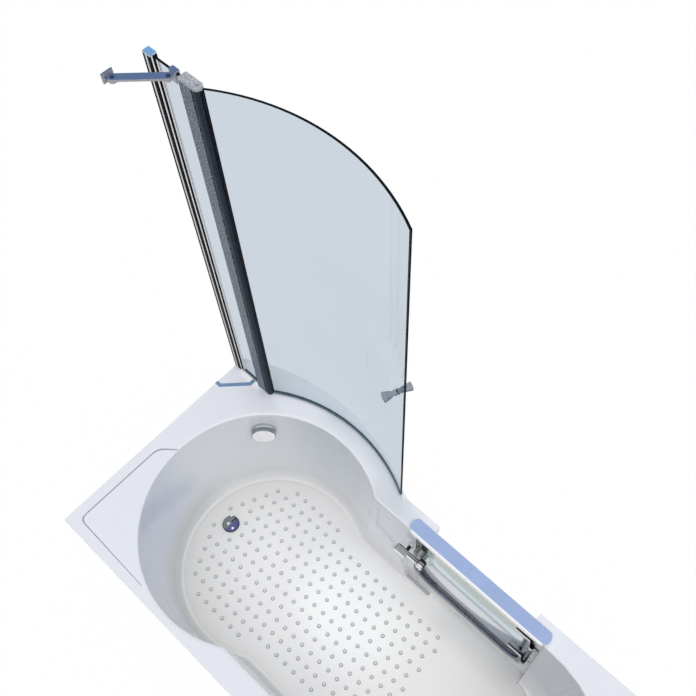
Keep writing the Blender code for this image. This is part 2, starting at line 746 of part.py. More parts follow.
def floor_groove():
    """Groove round the foot of the wall, left out where the door's recess opens."""
    low, high = FLOOR - FLOOR_GROOVE_DEPTH, FLOOR + CUT_OVERRUN
    outer = tub_outline(1.0, -FLOOR_GROOVE_SET)
    inner = tub_outline(1.0, -FLOOR_GROOVE_SET - FLOOR_GROOVE_WIDTH)
    groove = tool_piece("cut_floor_groove", upright(outer, low, high))
    middle = tool_piece("groove_middle", upright(inner, low - CUT_OVERRUN, high + CUT_OVERRUN))
    start = FRONT_CUSP + DOOR_LATCH_MARGIN * RECESS_EDGE_SHARES[0][1]
    keep_out = box(
        (start - FLOOR_GROOVE_WIDTH, RECESS_END + FLOOR_GROOVE_WIDTH),
        (SHOWER_ACROSS, NARROW_WIDTH),
        (low - CUT_OVERRUN, high + CUT_OVERRUN),
    )
    combine(groove, "DIFFERENCE", middle, tool_piece("groove_gap", keep_out))
    return groove


def drip_rail_outline(grow):
    """Strip that crosses the front corner of the deck on a slant, its ends turned square to the walls."""
    start_across = NARROW_WIDTH - DRIP_RAIL_FROM_FRONT
    half = DRIP_RAIL_WIDTH / 2 + grow
    first, last = DRIP_RAIL_HOOK, DRIP_RAIL_HOOK + DRIP_RAIL_RUN
    middle = [
        (SEAT_GAP - grow, start_across),
        (first, start_across),
        (last, start_across + DRIP_RAIL_RUN),
        (last, start_across + DRIP_RAIL_RUN + DRIP_RAIL_HOOK + grow),
    ]
    lean = half * tan(pi / 8)
    inner = [
        (middle[0][0], middle[0][1] - half),
        (middle[1][0] + lean, middle[1][1] - half),
        (middle[2][0] + half, middle[2][1] - lean),
        (middle[3][0] + half, middle[3][1]),
    ]
    outer = [
        (middle[3][0] - half, middle[3][1]),
        (middle[2][0] - half, middle[2][1] + lean),
        (middle[1][0] - lean, middle[1][1] + half),
        (middle[0][0], middle[0][1] + half),
    ]
    return inner + outer


def corner_drip_rail():
    low, high = RIM - DRIP_RAIL_SET, RIM + DRIP_RAIL_PROUD
    piece("corner_drip_rail", upright(drip_rail_outline(0.0), low, high), "blue_chrome")


def recess_strip():
    """Low strip on the tub's floor, along the foot of the recess below the latch."""
    start = FRONT_CUSP + DOOR_LATCH_MARGIN * RECESS_EDGE_SHARES[0][1] + RECESS_EDGE + RECESS_STRIP_END_GAP
    outer, low = DOOR_PLANE - RECESS_STRIP_WALL_GAP, FLOOR + SEAT_GAP
    end = (start + RECESS_STRIP_LENGTH, outer)
    outline = rounded_box((start, outer - RECESS_STRIP_WIDTH), end, RECESS_STRIP_CORNER)
    piece("recess_strip", upright(outline, low, low + RECESS_STRIP_HEIGHT), "grey_plastic")


def front_panel():
    """Bowed panel behind the lip, with the door's cut-out."""
    inner_inset = LIP_THICKNESS + SEAT_GAP + PANEL_THICKNESS
    outer = front_line(LIP_THICKNESS + SEAT_GAP)
    inner = front_line(inner_inset)
    foot = BATH_LENGTH - CORNER_RADIUS
    foot_inner = (foot, PANEL_FRONT - PANEL_THICKNESS)
    outline = [(foot, PANEL_FRONT)] + outer + list(reversed(inner)) + [foot_inner]
    low, high = PANEL_FLOOR_GAP, RIM - DECK_THICKNESS - SEAT_GAP
    panel = piece("front_panel", upright(outline, low, high), "acrylic")
    cut_low, cut_high = PANEL_FRONT - CUT_OVERRUN, NARROW_WIDTH + CUT_OVERRUN
    doorway = tool_piece(
        "cut_panel_doorway",
        crosswise(door_outline(STOP_WIDTH, RIM + CUT_OVERRUN), cut_low, cut_high),
    )
    combine(panel, "DIFFERENCE", doorway)


# Support


def base_board():
    board = piece(
        "base_board",
        upright(tub_outline(1.0, -BOARD_INSET), BOARD_BOTTOM, BOARD_BOTTOM + BOARD_THICKNESS),
        "board",
    )
    below = spot(WASTE_FROM_END, WASTE_ACROSS, BOARD_BOTTOM - CUT_OVERRUN)
    hole = rod(WASTE_BODY_RADIUS + BOARD_HOLE_CLEARANCE, below, UP, BOARD_THICKNESS + 2 * CUT_OVERRUN)
    combine(board, "DIFFERENCE", tool_piece("cut_board_hole", hole))


def rail_section(centre):
    """Channel open upwards, as (along, up)."""
    half, wall = RAIL_WIDTH / 2, RAIL_THICKNESS
    return [
        (centre - half, LEG_SPACE),
        (centre + half, LEG_SPACE),
        (centre + half, RAIL_TOP),
        (centre + half - wall, RAIL_TOP),
        (centre + half - wall, LEG_SPACE + wall),
        (centre - half + wall, LEG_SPACE + wall),
        (centre - half + wall, RAIL_TOP),
        (centre - half, RAIL_TOP),
    ]


def cradle_and_legs():
    number = 0
    for rail_number, along in enumerate(RAIL_PLACES, 1):
        rail = piece(
            f"cradle_rail_{rail_number}",
            crosswise(rail_section(along), RAIL_EDGE, NARROW_WIDTH - RAIL_EDGE),
            "zinc",
        )
        for across in (LEG_EDGE, NARROW_WIDTH - LEG_EDGE):
            number += 1
            below = spot(along, across, LEG_SPACE - CUT_OVERRUN)
            through = RAIL_THICKNESS + 2 * CUT_OVERRUN
            hole = rod(STUD_RADIUS + TURN_PLAY, below, UP, through, SMALL_TURN_STEPS)
            combine(rail, "DIFFERENCE", tool_piece(f"cut_stud_hole_{number}", hole))
            leg(number, along, across)


def leg(number, along, across):
    """Threaded stud with its two lock nuts, in a turned pad."""
    foot = spot(along, across, 0.0)
    stud_low, stud_high = PAD_SOLE + SEAT_GAP, RAIL_TOP - RAIL_THICKNESS
    stud = piece(
        f"leg_stud_{number}",
        rod(STUD_RADIUS, foot + UP * stud_low, UP, stud_high - stud_low, SMALL_TURN_STEPS),
        "zinc",
    )
    nut_lows = (LEG_SPACE - SEAT_GAP - NUT_HEIGHT, LEG_SPACE + RAIL_THICKNESS + SEAT_GAP)
    for side, low in zip(("under", "over"), nut_lows):
        nut = rod(NUT_RADIUS, foot + UP * low, UP, NUT_HEIGHT, HEX)
        combine(stud, "UNION", tool_piece(f"nut_{side}_{number}", nut))
    hole = STUD_RADIUS + SEAT_GAP
    profile = [
        (0.0, 0.0),
        (PAD_RADIUS, 0.0),
        (PAD_RADIUS, PAD_RIM_HEIGHT),
        (PAD_TOP_RADIUS, PAD_HEIGHT),
        (hole, PAD_HEIGHT),
        (hole, PAD_SOLE),
        (0.0, PAD_SOLE),
    ]
    piece(f"leg_pad_{number}", turned(profile, foot, UP, SMALL_TURN_STEPS), "grey_plastic", foot)


# Waste and overflow


def waste():
    drain = spot(WASTE_FROM_END, WASTE_ACROSS, FLOOR)
    flange = [
        (FLANGE_BORE_RADIUS, -FLANGE_TAIL_LENGTH),
        (FLANGE_TAIL_RADIUS, -FLANGE_TAIL_LENGTH),
        (FLANGE_TAIL_RADIUS, SEAT_GAP),
        (FLANGE_RADIUS, SEAT_GAP),
        (FLANGE_RADIUS, FLANGE_PROUD / 2),
        (FLANGE_RADIUS - FLANGE_PROUD, FLANGE_PROUD),
        (FLANGE_BORE_RADIUS, FLANGE_PROUD),
    ]
    piece("waste_flange", turned(flange, drain, UP, closed=True), "chrome", drain)
    seat = FLANGE_PROUD + SEAT_GAP
    plug = [
        (0.0, seat - PLUG_STEM_LENGTH),
        (PLUG_STEM_RADIUS, seat - PLUG_STEM_LENGTH),
        (PLUG_STEM_RADIUS, seat),
        (PLUG_RADIUS, seat),
        (PLUG_RADIUS, seat + PLUG_EDGE),
        (PLUG_RADIUS * cos(pi / 6), seat + PLUG_EDGE + PLUG_DOME / 2),
        (PLUG_RADIUS / 2, seat + PLUG_EDGE + PLUG_DOME * cos(pi / 6)),
        (0.0, seat + PLUG_EDGE + PLUG_DOME),
    ]
    made = piece("waste_plug", turned(plug, drain, UP), "chrome", drain)
    hang(made, axis_empty("plug_lift", drain))

    foot = spot(WASTE_FROM_END, WASTE_ACROSS, 0.0)
    pocket = FLANGE_TAIL_RADIUS + SEAT_GAP
    cup = [
        (0.0, WASTE_BODY_BOTTOM),
        (WASTE_BODY_RADIUS, WASTE_BODY_BOTTOM),
        (WASTE_BODY_RADIUS, WASTE_BODY_TOP),
        (pocket, WASTE_BODY_TOP),
        (pocket, WASTE_BODY_TOP - WASTE_POCKET_DEPTH),
        (0.0, WASTE_BODY_TOP - WASTE_POCKET_DEPTH),
    ]
    body = piece("waste_body", turned(cup, foot, UP), "white_plastic")
    inlet_reach = WASTE_INLET_REACH - WASTE_BODY_RADIUS / 2 - pocket / 2
    inlet_base = spot(WASTE_FROM_END, WASTE_ACROSS + WASTE_INLET_REACH - inlet_reach, WASTE_INLET_UP)
    inlet = tool_piece("waste_inlet", rod(WASTE_INLET_RADIUS, inlet_base, TO_FRONT, inlet_reach))
    combine(body, "UNION", inlet)

    trap_top = WASTE_BODY_BOTTOM - SEAT_GAP
    cup = rod(TRAP_RADIUS, foot + UP * TRAP_BOTTOM, UP, trap_top - TRAP_BOTTOM)
    trap = piece("trap", cup, "white_plastic")
    outlet_up = (trap_top + TRAP_BOTTOM) / 2
    outlet_base = spot(WASTE_FROM_END, WASTE_ACROSS, outlet_up)
    outlet = rod(TRAP_OUTLET_RADIUS, outlet_base, -TO_FOOT, WASTE_FROM_END - TRAP_OUTLET_TO_END)
    combine(trap, "UNION", tool_piece("trap_outlet", outlet))


def overflow_radius():
    return SHOWER_RADIUS - SHOWER_TAPER * lean_at(OVERFLOW_UP)


def overflow_wall():
    """Centre of the overflow hole on the inner face of the wall."""
    bearing = radians(OVERFLOW_BEARING)
    return spot(
        SHOWER_ALONG - overflow_radius() * sin(bearing),
        SHOWER_ACROSS + overflow_radius() * cos(bearing),
        OVERFLOW_UP,
    )


def overflow_axis():
    """Into the tub, square to the leaning wall."""
    bearing = radians(OVERFLOW_BEARING)
    lean = atan(SHOWER_TAPER * WALL_TAPER_SHARE / (BATH_DEPTH - COVE_HEIGHT))
    inwards = heading(sin(bearing), -cos(bearing))
    return (inwards * cos(lean) + UP * sin(lean)).normalized()


def overflow():
    wall, axis = overflow_wall(), overflow_axis()
    proud, edge = OVERFLOW_BODY_PROUD, OVERFLOW_EDGE
    spigot = OVERFLOW_HOLE_RADIUS - TURN_PLAY
    bore = OVERFLOW_SPINDLE_RADIUS + TURN_PLAY
    body_profile = [
        (spigot + SEAT_GAP, -SHELL_THICKNESS),
        (OVERFLOW_BODY_RADIUS, -SHELL_THICKNESS),
        (OVERFLOW_BODY_RADIUS, proud - edge),
        (OVERFLOW_BODY_RADIUS - edge, proud),
        (bore, proud),
        (bore, OVERFLOW_POCKET + SEAT_GAP),
        (spigot + SEAT_GAP, OVERFLOW_POCKET + SEAT_GAP),
    ]
    body = piece("overflow_body", turned(body_profile, wall, axis, closed=True), "chrome")
    combine(body, "INTERSECT", tool_piece("overflow_seat", loft(tub_levels(-SEAT_GAP, True))))

    start = proud + SEAT_GAP
    end = start + OVERFLOW_KNOB_THICKNESS
    knob_profile = [
        (0.0, OVERFLOW_POCKET + 2 * SEAT_GAP),
        (OVERFLOW_SPINDLE_RADIUS, OVERFLOW_POCKET + 2 * SEAT_GAP),
        (OVERFLOW_SPINDLE_RADIUS, start),
        (OVERFLOW_KNOB_RADIUS, start),
        (OVERFLOW_KNOB_RADIUS, end - edge),
        (OVERFLOW_KNOB_RADIUS - edge, end),
        (0.0, end + edge),
    ]
    knob = piece("overflow_knob", turned(knob_profile, wall, axis, 2 * SMALL_TURN_STEPS), "chrome", wall)
    level_way = axis.cross(UP).normalized()
    for side, name in ((1, "cut_grip_left"), (-1, "cut_grip_right")):
        middle = wall + level_way * side * (OVERFLOW_KNOB_RADIUS + OVERFLOW_NOTCH_RADIUS / 2)
        base = middle + axis * (start + OVERFLOW_KNOB_THICKNESS / 2)
        deep = OVERFLOW_KNOB_THICKNESS + CUT_OVERRUN
        grip = rod(OVERFLOW_NOTCH_RADIUS, base, axis, deep, SMALL_TURN_STEPS)
        combine(knob, "DIFFERENCE", tool_piece(name, grip))
    hang(knob, axis_empty("overflow_turn", wall))

    flange_front = -SHELL_THICKNESS - SEAT_GAP
    flange_back = flange_front - ELBOW_FLANGE_THICKNESS
    body_back = flange_back - ELBOW_BODY_LENGTH
    elbow_profile = [
        (0.0, body_back),
        (ELBOW_BODY_RADIUS, body_back),
        (ELBOW_BODY_RADIUS, flange_back),
        (ELBOW_FLANGE_RADIUS, flange_back),
        (ELBOW_FLANGE_RADIUS, flange_front),
        (spigot, flange_front),
        (spigot, OVERFLOW_POCKET),
        (0.0, OVERFLOW_POCKET),
    ]
    elbow = piece("overflow_elbow", turned(elbow_profile, wall, axis), "white_plastic")
    turn = elbow_turn()
    down = rod(ELBOW_PIPE_RADIUS, turn - UP * ELBOW_DROP, UP, ELBOW_DROP)
    combine(elbow, "UNION", tool_piece("elbow_pipe", down))


def elbow_turn():
    """Where the elbow's down pipe meets its body."""
    back = SHELL_THICKNESS + SEAT_GAP + ELBOW_FLANGE_THICKNESS + ELBOW_BODY_LENGTH / 2
    return overflow_wall() - overflow_axis() * back


def rounded_path(corners, reach):
    """Points along straight runs whose corners are rounded within a reach of each."""
    points = [corners[0]]
    for before, corner, after in zip(corners, corners[1:], corners[2:]):
        first = corner + (before - corner).normalized() * reach
        last = corner + (after - corner).normalized() * reach
        for i in range(PIPE_BEND_STEPS + 1):
            t = i / PIPE_BEND_STEPS
            points.append(first * (1 - t) ** 2 + corner * 2 * t * (1 - t) + last * t * t)
    return points + [corners[-1]]


def overflow_pipe():
    """From the elbow down behind the wall and under the floor to the inlet of the waste."""
    start = elbow_turn() - UP * (ELBOW_DROP + SEAT_GAP)
    end = spot(WASTE_FROM_END, WASTE_ACROSS + WASTE_INLET_REACH + SEAT_GAP, WASTE_INLET_UP)
    below = Vector((start.x, start.y, end.z))
    points = rounded_path([start, below, end + TO_FRONT * PIPE_STRAIGHT, end], PIPE_BEND)
    curve = bpy.data.curves.new("overflow_pipe", "CURVE")
    curve.dimensions = "3D"
    curve.bevel_depth = PIPE_RADIUS
    curve.bevel_resolution = 3
    curve.use_fill_caps = True
    spline = curve.splines.new("POLY")
    spline.points.add(len(points[1:]))
    for target, point in zip(spline.points, points):
        target.co = (*point, 1.0)
    made = bpy.data.objects.new("overflow_pipe", curve)
    curve.materials.append(material("overflow_pipe", "grey_plastic"))
    bpy.context.scene.collection.objects.link(made)


# Joint axes


def axis_empty(name, place):
    made = bpy.data.objects.new(name, None)
    made.location = place
    bpy.context.scene.collection.objects.link(made)
    return made


def hang(child, parent):
    """Parents a piece to an empty on its axis, where it is."""
    child.parent = parent
    child.location = child.location - parent.location


# Screen


def wall_profile():
    half, slot = PROFILE_WIDTH / 2, SCREEN_GLASS / 2 + SEAT_GAP
    back = PROFILE_REACH - PROFILE_GROOVE
    outline = [
        (0.0, SCREEN_ACROSS - half),
        (PROFILE_REACH, SCREEN_ACROSS - half),
        (PROFILE_REACH, SCREEN_ACROSS - slot),
        (back, SCREEN_ACROSS - slot),
        (back, SCREEN_ACROSS + slot),
        (PROFILE_REACH, SCREEN_ACROSS + slot),
        (PROFILE_REACH, SCREEN_ACROSS + half),
        (0.0, SCREEN_ACROSS + half),
    ]
    top = SCREEN_TOP - PROFILE_CAP
    piece("wall_profile", upright(outline, RIM + SEAT_GAP, top - SEAT_GAP), "chrome")
    cap = box((0.0, PROFILE_REACH), (SCREEN_ACROSS - half, SCREEN_ACROSS + half), (top, SCREEN_TOP))
    piece("wall_profile_cap", cap, "blue_chrome")


def fixed_glass():
    half = SCREEN_GLASS / 2
    across = (SCREEN_ACROSS - half, SCREEN_ACROSS + half)
    start = PROFILE_REACH - PROFILE_GROOVE + SEAT_GAP
    end = POST_START + POST_GROOVE - SEAT_GAP
    low = RIM + FIXED_GLASS_LIFT
    high = SCREEN_TOP - PROFILE_CAP - FIXED_GLASS_DROP
    piece("fixed_glass", box((start, end), across, (low, high)), "glass")
    seal_half = FIXED_SEAL_WIDTH / 2
    seal_across = (SCREEN_ACROSS - seal_half, SCREEN_ACROSS + seal_half)
    seal_along = (PROFILE_REACH + SEAT_GAP, POST_START - SEAT_GAP)
    seal = box(seal_along, seal_across, (RIM + SEAT_GAP, low - SEAT_GAP))
    piece("fixed_seal", seal, "clear_seal")


def hinge_post():
    """Fixed extrusion: a groove for the fixed glass, and a hollow end that the pivot turns in."""
    half, slot = POST_WIDTH / 2, SCREEN_GLASS / 2 + SEAT_GAP
    socket = PIVOT_RADIUS + TURN_PLAY
    reach = pi - acos(POST_HORN / socket)
    left = POST_START
    outline = arc((PIVOT_ALONG, SCREEN_ACROSS), socket, 2 * pi - reach, reach, POST_ARC_STEPS)
    outline += [(PIVOT_ALONG - POST_HORN, SCREEN_ACROSS + half)]
    front_corner = (left + POST_CORNER, SCREEN_ACROSS + half - POST_CORNER)
    outline += arc(front_corner, POST_CORNER, pi / 2, pi, CORNER_STEPS)
    outline += [
        (left, SCREEN_ACROSS + slot),
        (left + POST_GROOVE, SCREEN_ACROSS + slot),
        (left + POST_GROOVE, SCREEN_ACROSS - slot),
        (left, SCREEN_ACROSS - slot),
    ]
    corner = (left + POST_CORNER, SCREEN_ACROSS - half + POST_CORNER)
    outline += arc(corner, POST_CORNER, pi, 3 * pi / 2, CORNER_STEPS)
    outline += [(PIVOT_ALONG - POST_HORN, SCREEN_ACROSS - half)]
    low = RIM + SEAT_GAP + POST_CAP + SEAT_GAP
    piece("hinge_post", upright(outline, low, SCREEN_TOP - POST_CAP - SEAT_GAP), "anodised")
    cap_outline = arc((PIVOT_ALONG, SCREEN_ACROSS), PIVOT_RADIUS, -pi / 2, pi / 2, POST_ARC_STEPS)
    cap_outline += arc(front_corner, POST_CORNER, pi / 2, pi, CORNER_STEPS)
    cap_outline += arc(corner, POST_CORNER, pi, 3 * pi / 2, CORNER_STEPS)
    lows = {"post_cap_bottom": RIM + SEAT_GAP, "post_cap_top": SCREEN_TOP - POST_CAP}
    for name, low in lows.items():
        cap = piece(name, upright(cap_outline, low, low + POST_CAP), "speckled_cap")
        base = spot(PIVOT_ALONG, SCREEN_ACROSS, low - CUT_OVERRUN)
        hole = rod(PIVOT_PIN_RADIUS + SEAT_GAP, base, UP, POST_CAP + 2 * CUT_OVERRUN, SMALL_TURN_STEPS)
        combine(cap, "DIFFERENCE", tool_piece("cut_pin_" + name, hole))


def screen_place(distance, offset=0.0):
    """Plan place on the curved glass, at a distance round it from the pivot, offset out of its middle."""
    angle = SCREEN_START_ANGLE - distance / SCREEN_RADIUS
    radius = SCREEN_RADIUS + offset
    return (SCREEN_CENTRE_ALONG + radius * cos(angle), SCREEN_CENTRE_ACROSS + radius * sin(angle))


def screen_strip(start, end, thickness):
    """Plan outline of a strip that follows the curved glass."""
    places = [start + (end - start) * i / SCREEN_STEPS for i in range(SCREEN_STEPS + 1)]
    outer = [screen_place(place, thickness / 2) for place in places]
    inner = [screen_place(place, -thickness / 2) for place in places]
    return inner + list(reversed(outer))


def screen():
    swing = axis_empty("screen_swing", spot(PIVOT_ALONG, SCREEN_ACROSS, RIM))
    axis_place = spot(PIVOT_ALONG, SCREEN_ACROSS, RIM)
    length = SCREEN_RADIUS * SCREEN_SPAN

    slot = SCREEN_GLASS / 2 + SEAT_GAP
    way = SCREEN_START_ANGLE - pi / 2
    mouth = sqrt(PIVOT_RADIUS**2 - slot**2)
    mouth_turn = atan2(slot, mouth)
    mouth_ends = (way + mouth_turn, way + 2 * pi - mouth_turn)
    outline = arc((PIVOT_ALONG, SCREEN_ACROSS), PIVOT_RADIUS, *mouth_ends, 2 * POST_ARC_STEPS)
    for side in (-1, 1):
        outline.append(
            (
                PIVOT_ALONG + PIVOT_SLOT_START * cos(way) - side * slot * sin(way),
                SCREEN_ACROSS + PIVOT_SLOT_START * sin(way) + side * slot * cos(way),
            )
        )
    low = RIM + SEAT_GAP + POST_CAP + TURN_PLAY
    high = SCREEN_TOP - POST_CAP - TURN_PLAY
    profile = piece("pivot_profile", upright(outline, low, high), "anodised", axis_place)
    pin_low = low - PIVOT_PIN_LENGTH
    pin = rod(
        PIVOT_PIN_RADIUS,
        spot(PIVOT_ALONG, SCREEN_ACROSS, pin_low),
        UP,
        high - low + 2 * PIVOT_PIN_LENGTH,
        SMALL_TURN_STEPS,
    )
    combine(profile, "UNION", tool_piece("pivot_pin", pin))

    start = PIVOT_SLOT_START + SEAT_GAP
    glass_outline = screen_strip(start, length, SCREEN_GLASS)
    sheet = upright(glass_outline, SCREEN_GLASS_BOTTOM, SCREEN_GLASS_TOP)
    glass = piece("curved_glass", sheet, "glass", axis_place)
    along, across = screen_place(length - KNOB_FROM_EDGE)
    outwards = heading(along - SCREEN_CENTRE_ALONG, across - SCREEN_CENTRE_ACROSS)
    hole_base = spot(along, across, KNOB_UP) - outwards * CUT_OVERRUN
    hole = rod(KNOB_HOLE_RADIUS, hole_base, outwards, 2 * CUT_OVERRUN, SMALL_TURN_STEPS)
    combine(glass, "DIFFERENCE", tool_piece("cut_knob_hole", hole))

    seal_outline = screen_strip(SEAL_START, length, SEAL_WIDTH)
    seal = piece(
        "screen_seal",
        upright(seal_outline, RIM + SEAL_LIFT, SCREEN_GLASS_BOTTOM - SEAT_GAP),
        "clear_seal",
        axis_place,
    )
    outer, inner = screen_knobs(spot(along, across, KNOB_UP), outwards)
    for made in (profile, glass, seal, outer, inner):
        hang(made, swing)


def knob_profile(face_radius, length):
    """Waisted knob from its seat on the glass."""
    start = SCREEN_GLASS / 2 + SEAT_GAP
    end = start + length
    return [
        (KNOB_SEAT_RADIUS, start),
        (KNOB_SEAT_RADIUS, start + KNOB_SEAT_LENGTH),
        (KNOB_NECK_RADIUS, start + 2 * KNOB_SEAT_LENGTH),
        ((KNOB_NECK_RADIUS + face_radius) / 2, start + length / 2),
        (face_radius, end - 2 * KNOB_EDGE),
        (face_radius, end - KNOB_EDGE),
        (face_radius - KNOB_EDGE, end),
        (0.0, end),
    ]


def screen_knobs(centre, outwards):
    stem_start = -SCREEN_GLASS / 2 - SEAT_GAP - KNOB_STEM_DEPTH
    stem_end = SCREEN_GLASS / 2 + SEAT_GAP
    outer_profile = [(0.0, stem_start), (KNOB_STEM_RADIUS, stem_start), (KNOB_STEM_RADIUS, stem_end)]
    outer_profile += knob_profile(KNOB_OUTER_RADIUS, KNOB_OUTER_LENGTH)
    outer = piece("knob_outer", turned(outer_profile, centre, outwards), "chrome", centre)
    bore = KNOB_STEM_RADIUS + SEAT_GAP
    bore_end = -stem_start + SEAT_GAP
    inner_profile = [(0.0, bore_end), (bore, bore_end), (bore, SCREEN_GLASS / 2 + SEAT_GAP)]
    inner_profile += knob_profile(KNOB_INNER_RADIUS, KNOB_INNER_LENGTH)
    inner = piece("knob_inner", turned(inner_profile, centre, -outwards), "chrome", centre)
    return outer, inner


def brace():
    """Flat bar at the top, from a plate on the end wall to a clamp on the fixed glass."""
    glass_top = SCREEN_TOP - PROFILE_CAP - FIXED_GLASS_DROP
    clamp_low, clamp_high = glass_top - BRACE_CLAMP_HOLD, glass_top + BRACE_CLAMP_ABOVE
    along = (BRACE_CLAMP_ALONG - BRACE_CLAMP_LENGTH / 2, BRACE_CLAMP_ALONG + BRACE_CLAMP_LENGTH / 2)
    half = BRACE_CLAMP_WIDTH / 2
    clamp = piece(
        "brace_clamp",
        box(along, (SCREEN_ACROSS - half, SCREEN_ACROSS + half), (clamp_low, clamp_high)),
        "blue_chrome",
    )
    slot_half = SCREEN_GLASS / 2 + SEAT_GAP
    slot = box(
        (along[0] - CUT_OVERRUN, along[1] + CUT_OVERRUN),
        (SCREEN_ACROSS - slot_half, SCREEN_ACROSS + slot_half),
        (clamp_low - CUT_OVERRUN, glass_top + SEAT_GAP),
    )
    combine(clamp, "DIFFERENCE", tool_piece("cut_clamp_slot", slot))

    lug_high = clamp_high
    lug_low = lug_high - BRACE_LUG_THICKNESS
    lug_end = (BRACE_CLAMP_ALONG + BRACE_LUG_ALONG, SCREEN_ACROSS - BRACE_LUG_OUT)
    radius = BRACE_BAR_WIDTH / 2
    lug = arc(lug_end, radius, pi, 2 * pi, LOBE_STEPS)
    lug_back = SCREEN_ACROSS - slot_half
    lug += [(lug_end[0] + radius, lug_back), (lug_end[0] - radius, lug_back)]
    combine(clamp, "UNION", tool_piece("clamp_lug", upright(lug, lug_low, lug_high)))

    wall_across = NARROW_WIDTH - FRONT_RIM / 2 - BRACE_WALL_ACROSS
    wall_end = (BRACE_WALL_OUT, wall_across)
    plate_half = BRACE_PLATE_WIDTH / 2
    middle_up = lug_low + BRACE_LUG_THICKNESS / 2
    plate = piece(
        "brace_wall_bracket",
        box(
            (0.0, BRACE_PLATE_THICKNESS),
            (wall_across - plate_half, wall_across + plate_half),
            (middle_up - BRACE_PLATE_HEIGHT / 2, middle_up + BRACE_PLATE_HEIGHT / 2),
        ),
        "blue_chrome",
    )
    inside = BRACE_PLATE_THICKNESS / 2
    wall_lug = arc(wall_end, radius, -pi / 2, pi / 2, LOBE_STEPS)
    wall_lug += [(inside, wall_across + radius), (inside, wall_across - radius)]
    combine(plate, "UNION", tool_piece("wall_lug", upright(wall_lug, lug_low, lug_high)))

    bar_low = lug_high + SEAT_GAP
    bar_high = bar_low + BRACE_BAR_THICKNESS
    way = atan2(lug_end[1] - wall_end[1], lug_end[0] - wall_end[0])
    bar_outline = arc(lug_end, radius, way - pi / 2, way + pi / 2, LOBE_STEPS)
    bar_outline += arc(wall_end, radius, way + pi / 2, way + 3 * pi / 2, LOBE_STEPS)
    bar = piece("brace_bar", upright(bar_outline, bar_low, bar_high), "blue_chrome")
    through = bar_high - lug_low + 2 * CUT_OVERRUN
    for name, end, holder in (("clamp", lug_end, clamp), ("wall", wall_end, plate)):
        base = spot(*end, lug_low - CUT_OVERRUN)
        bore = tool_piece(
            "cut_screw_" + name,
            rod(BRACE_SCREW_RADIUS + SEAT_GAP, base, UP, through, SMALL_TURN_STEPS),
        )
        combine(holder, "DIFFERENCE", bore)
        combine(bar, "DIFFERENCE", bore)
        low = lug_low - spot(*end, 0.0).z
        screw_profile = [
            (0.0, low),
            (BRACE_SCREW_RADIUS, low),
            (BRACE_SCREW_RADIUS, bar_high + SEAT_GAP),
            (BRACE_SCREW_HEAD, bar_high + SEAT_GAP),
            (BRACE_SCREW_HEAD, bar_high + SEAT_GAP + BRACE_SCREW_HEAD_HEIGHT / 2),
            (BRACE_SCREW_HEAD / 2, bar_high + SEAT_GAP + BRACE_SCREW_HEAD_HEIGHT),
            (0.0, bar_high + SEAT_GAP + BRACE_SCREW_HEAD_HEIGHT),
        ]
        screw = turned(screw_profile, spot(*end, 0.0), UP, SMALL_TURN_STEPS)
        piece("brace_screw_" + name, screw, "chrome")


# Bath door


def door_gasket():
    """Black seal on the stop, round the two sides and the sill."""
    top = RIM - DECK_THICKNESS
    inner = door_outline(GASKET_INSET + GASKET_WIDTH, top)
    outline = door_outline(GASKET_INSET, top) + list(reversed(inner))
    piece("door_gasket", crosswise(outline, GASKET_BACK, GASKET_BACK + GASKET_THICKNESS), "rubber")


def ring_section(sections):
    """Closed ring through door outlines: (inset, top, across) for each edge of its section."""
    return loft(
        [
            [spot(along, depth, up) for along, up in door_outline(inset, top)]
            for inset, top, depth in sections
        ],
        closed=True,
    )


def bath_door():
    swing = axis_empty("door_swing", spot(PIN_ALONG, PIN_ACROSS, RIM))
    axis_place = swing.location.copy()
    top = DOOR_FRAME_TOP
    outer = (DOOR_CLEARANCE, top)
    inner = (DOOR_CLEARANCE + DOOR_FRAME_WIDTH, top - DOOR_FRAME_WIDTH)
    groove_depth = DOOR_CLEARANCE + DOOR_FRAME_WIDTH - DOOR_FRAME_GROOVE
    groove = (groove_depth, top - DOOR_FRAME_WIDTH + DOOR_FRAME_GROOVE)
    middle = (DOOR_BACK + DOOR_FRONT) / 2
    slot = DOOR_GLASS_THICKNESS / 2 + SEAT_GAP
    sections = [
        (*outer, DOOR_BACK),
        (*outer, DOOR_FRONT),
        (*inner, DOOR_FRONT),
        (*inner, middle + slot),
        (*groove, middle + slot),
        (*groove, middle - slot),
        (*inner, middle - slot),
        (*inner, DOOR_BACK),
    ]
    frame = piece("door_frame", ring_section(sections), "chrome", axis_place)
    glass_outline = door_outline(groove_depth + SEAT_GAP, groove[1] - SEAT_GAP)
    half = DOOR_GLASS_THICKNESS / 2
    glass = piece("door_glass", crosswise(glass_outline, middle - half, middle + half), "glass", axis_place)

    bar = piece("door_top_bar", loft(top_bar_levels()), "blue_chrome", axis_place)
    made = [frame, glass, bar]
    for name, low in (("hinge_arm_lower", HINGE_LOW), ("hinge_arm_upper", HINGE_HIGH)):
        made.append(hinge_arm(name, low, axis_place))
    made.append(latch_body(axis_place))
    for part in made:
        hang(part, swing)
    hinge_bracket()
    latch(swing)


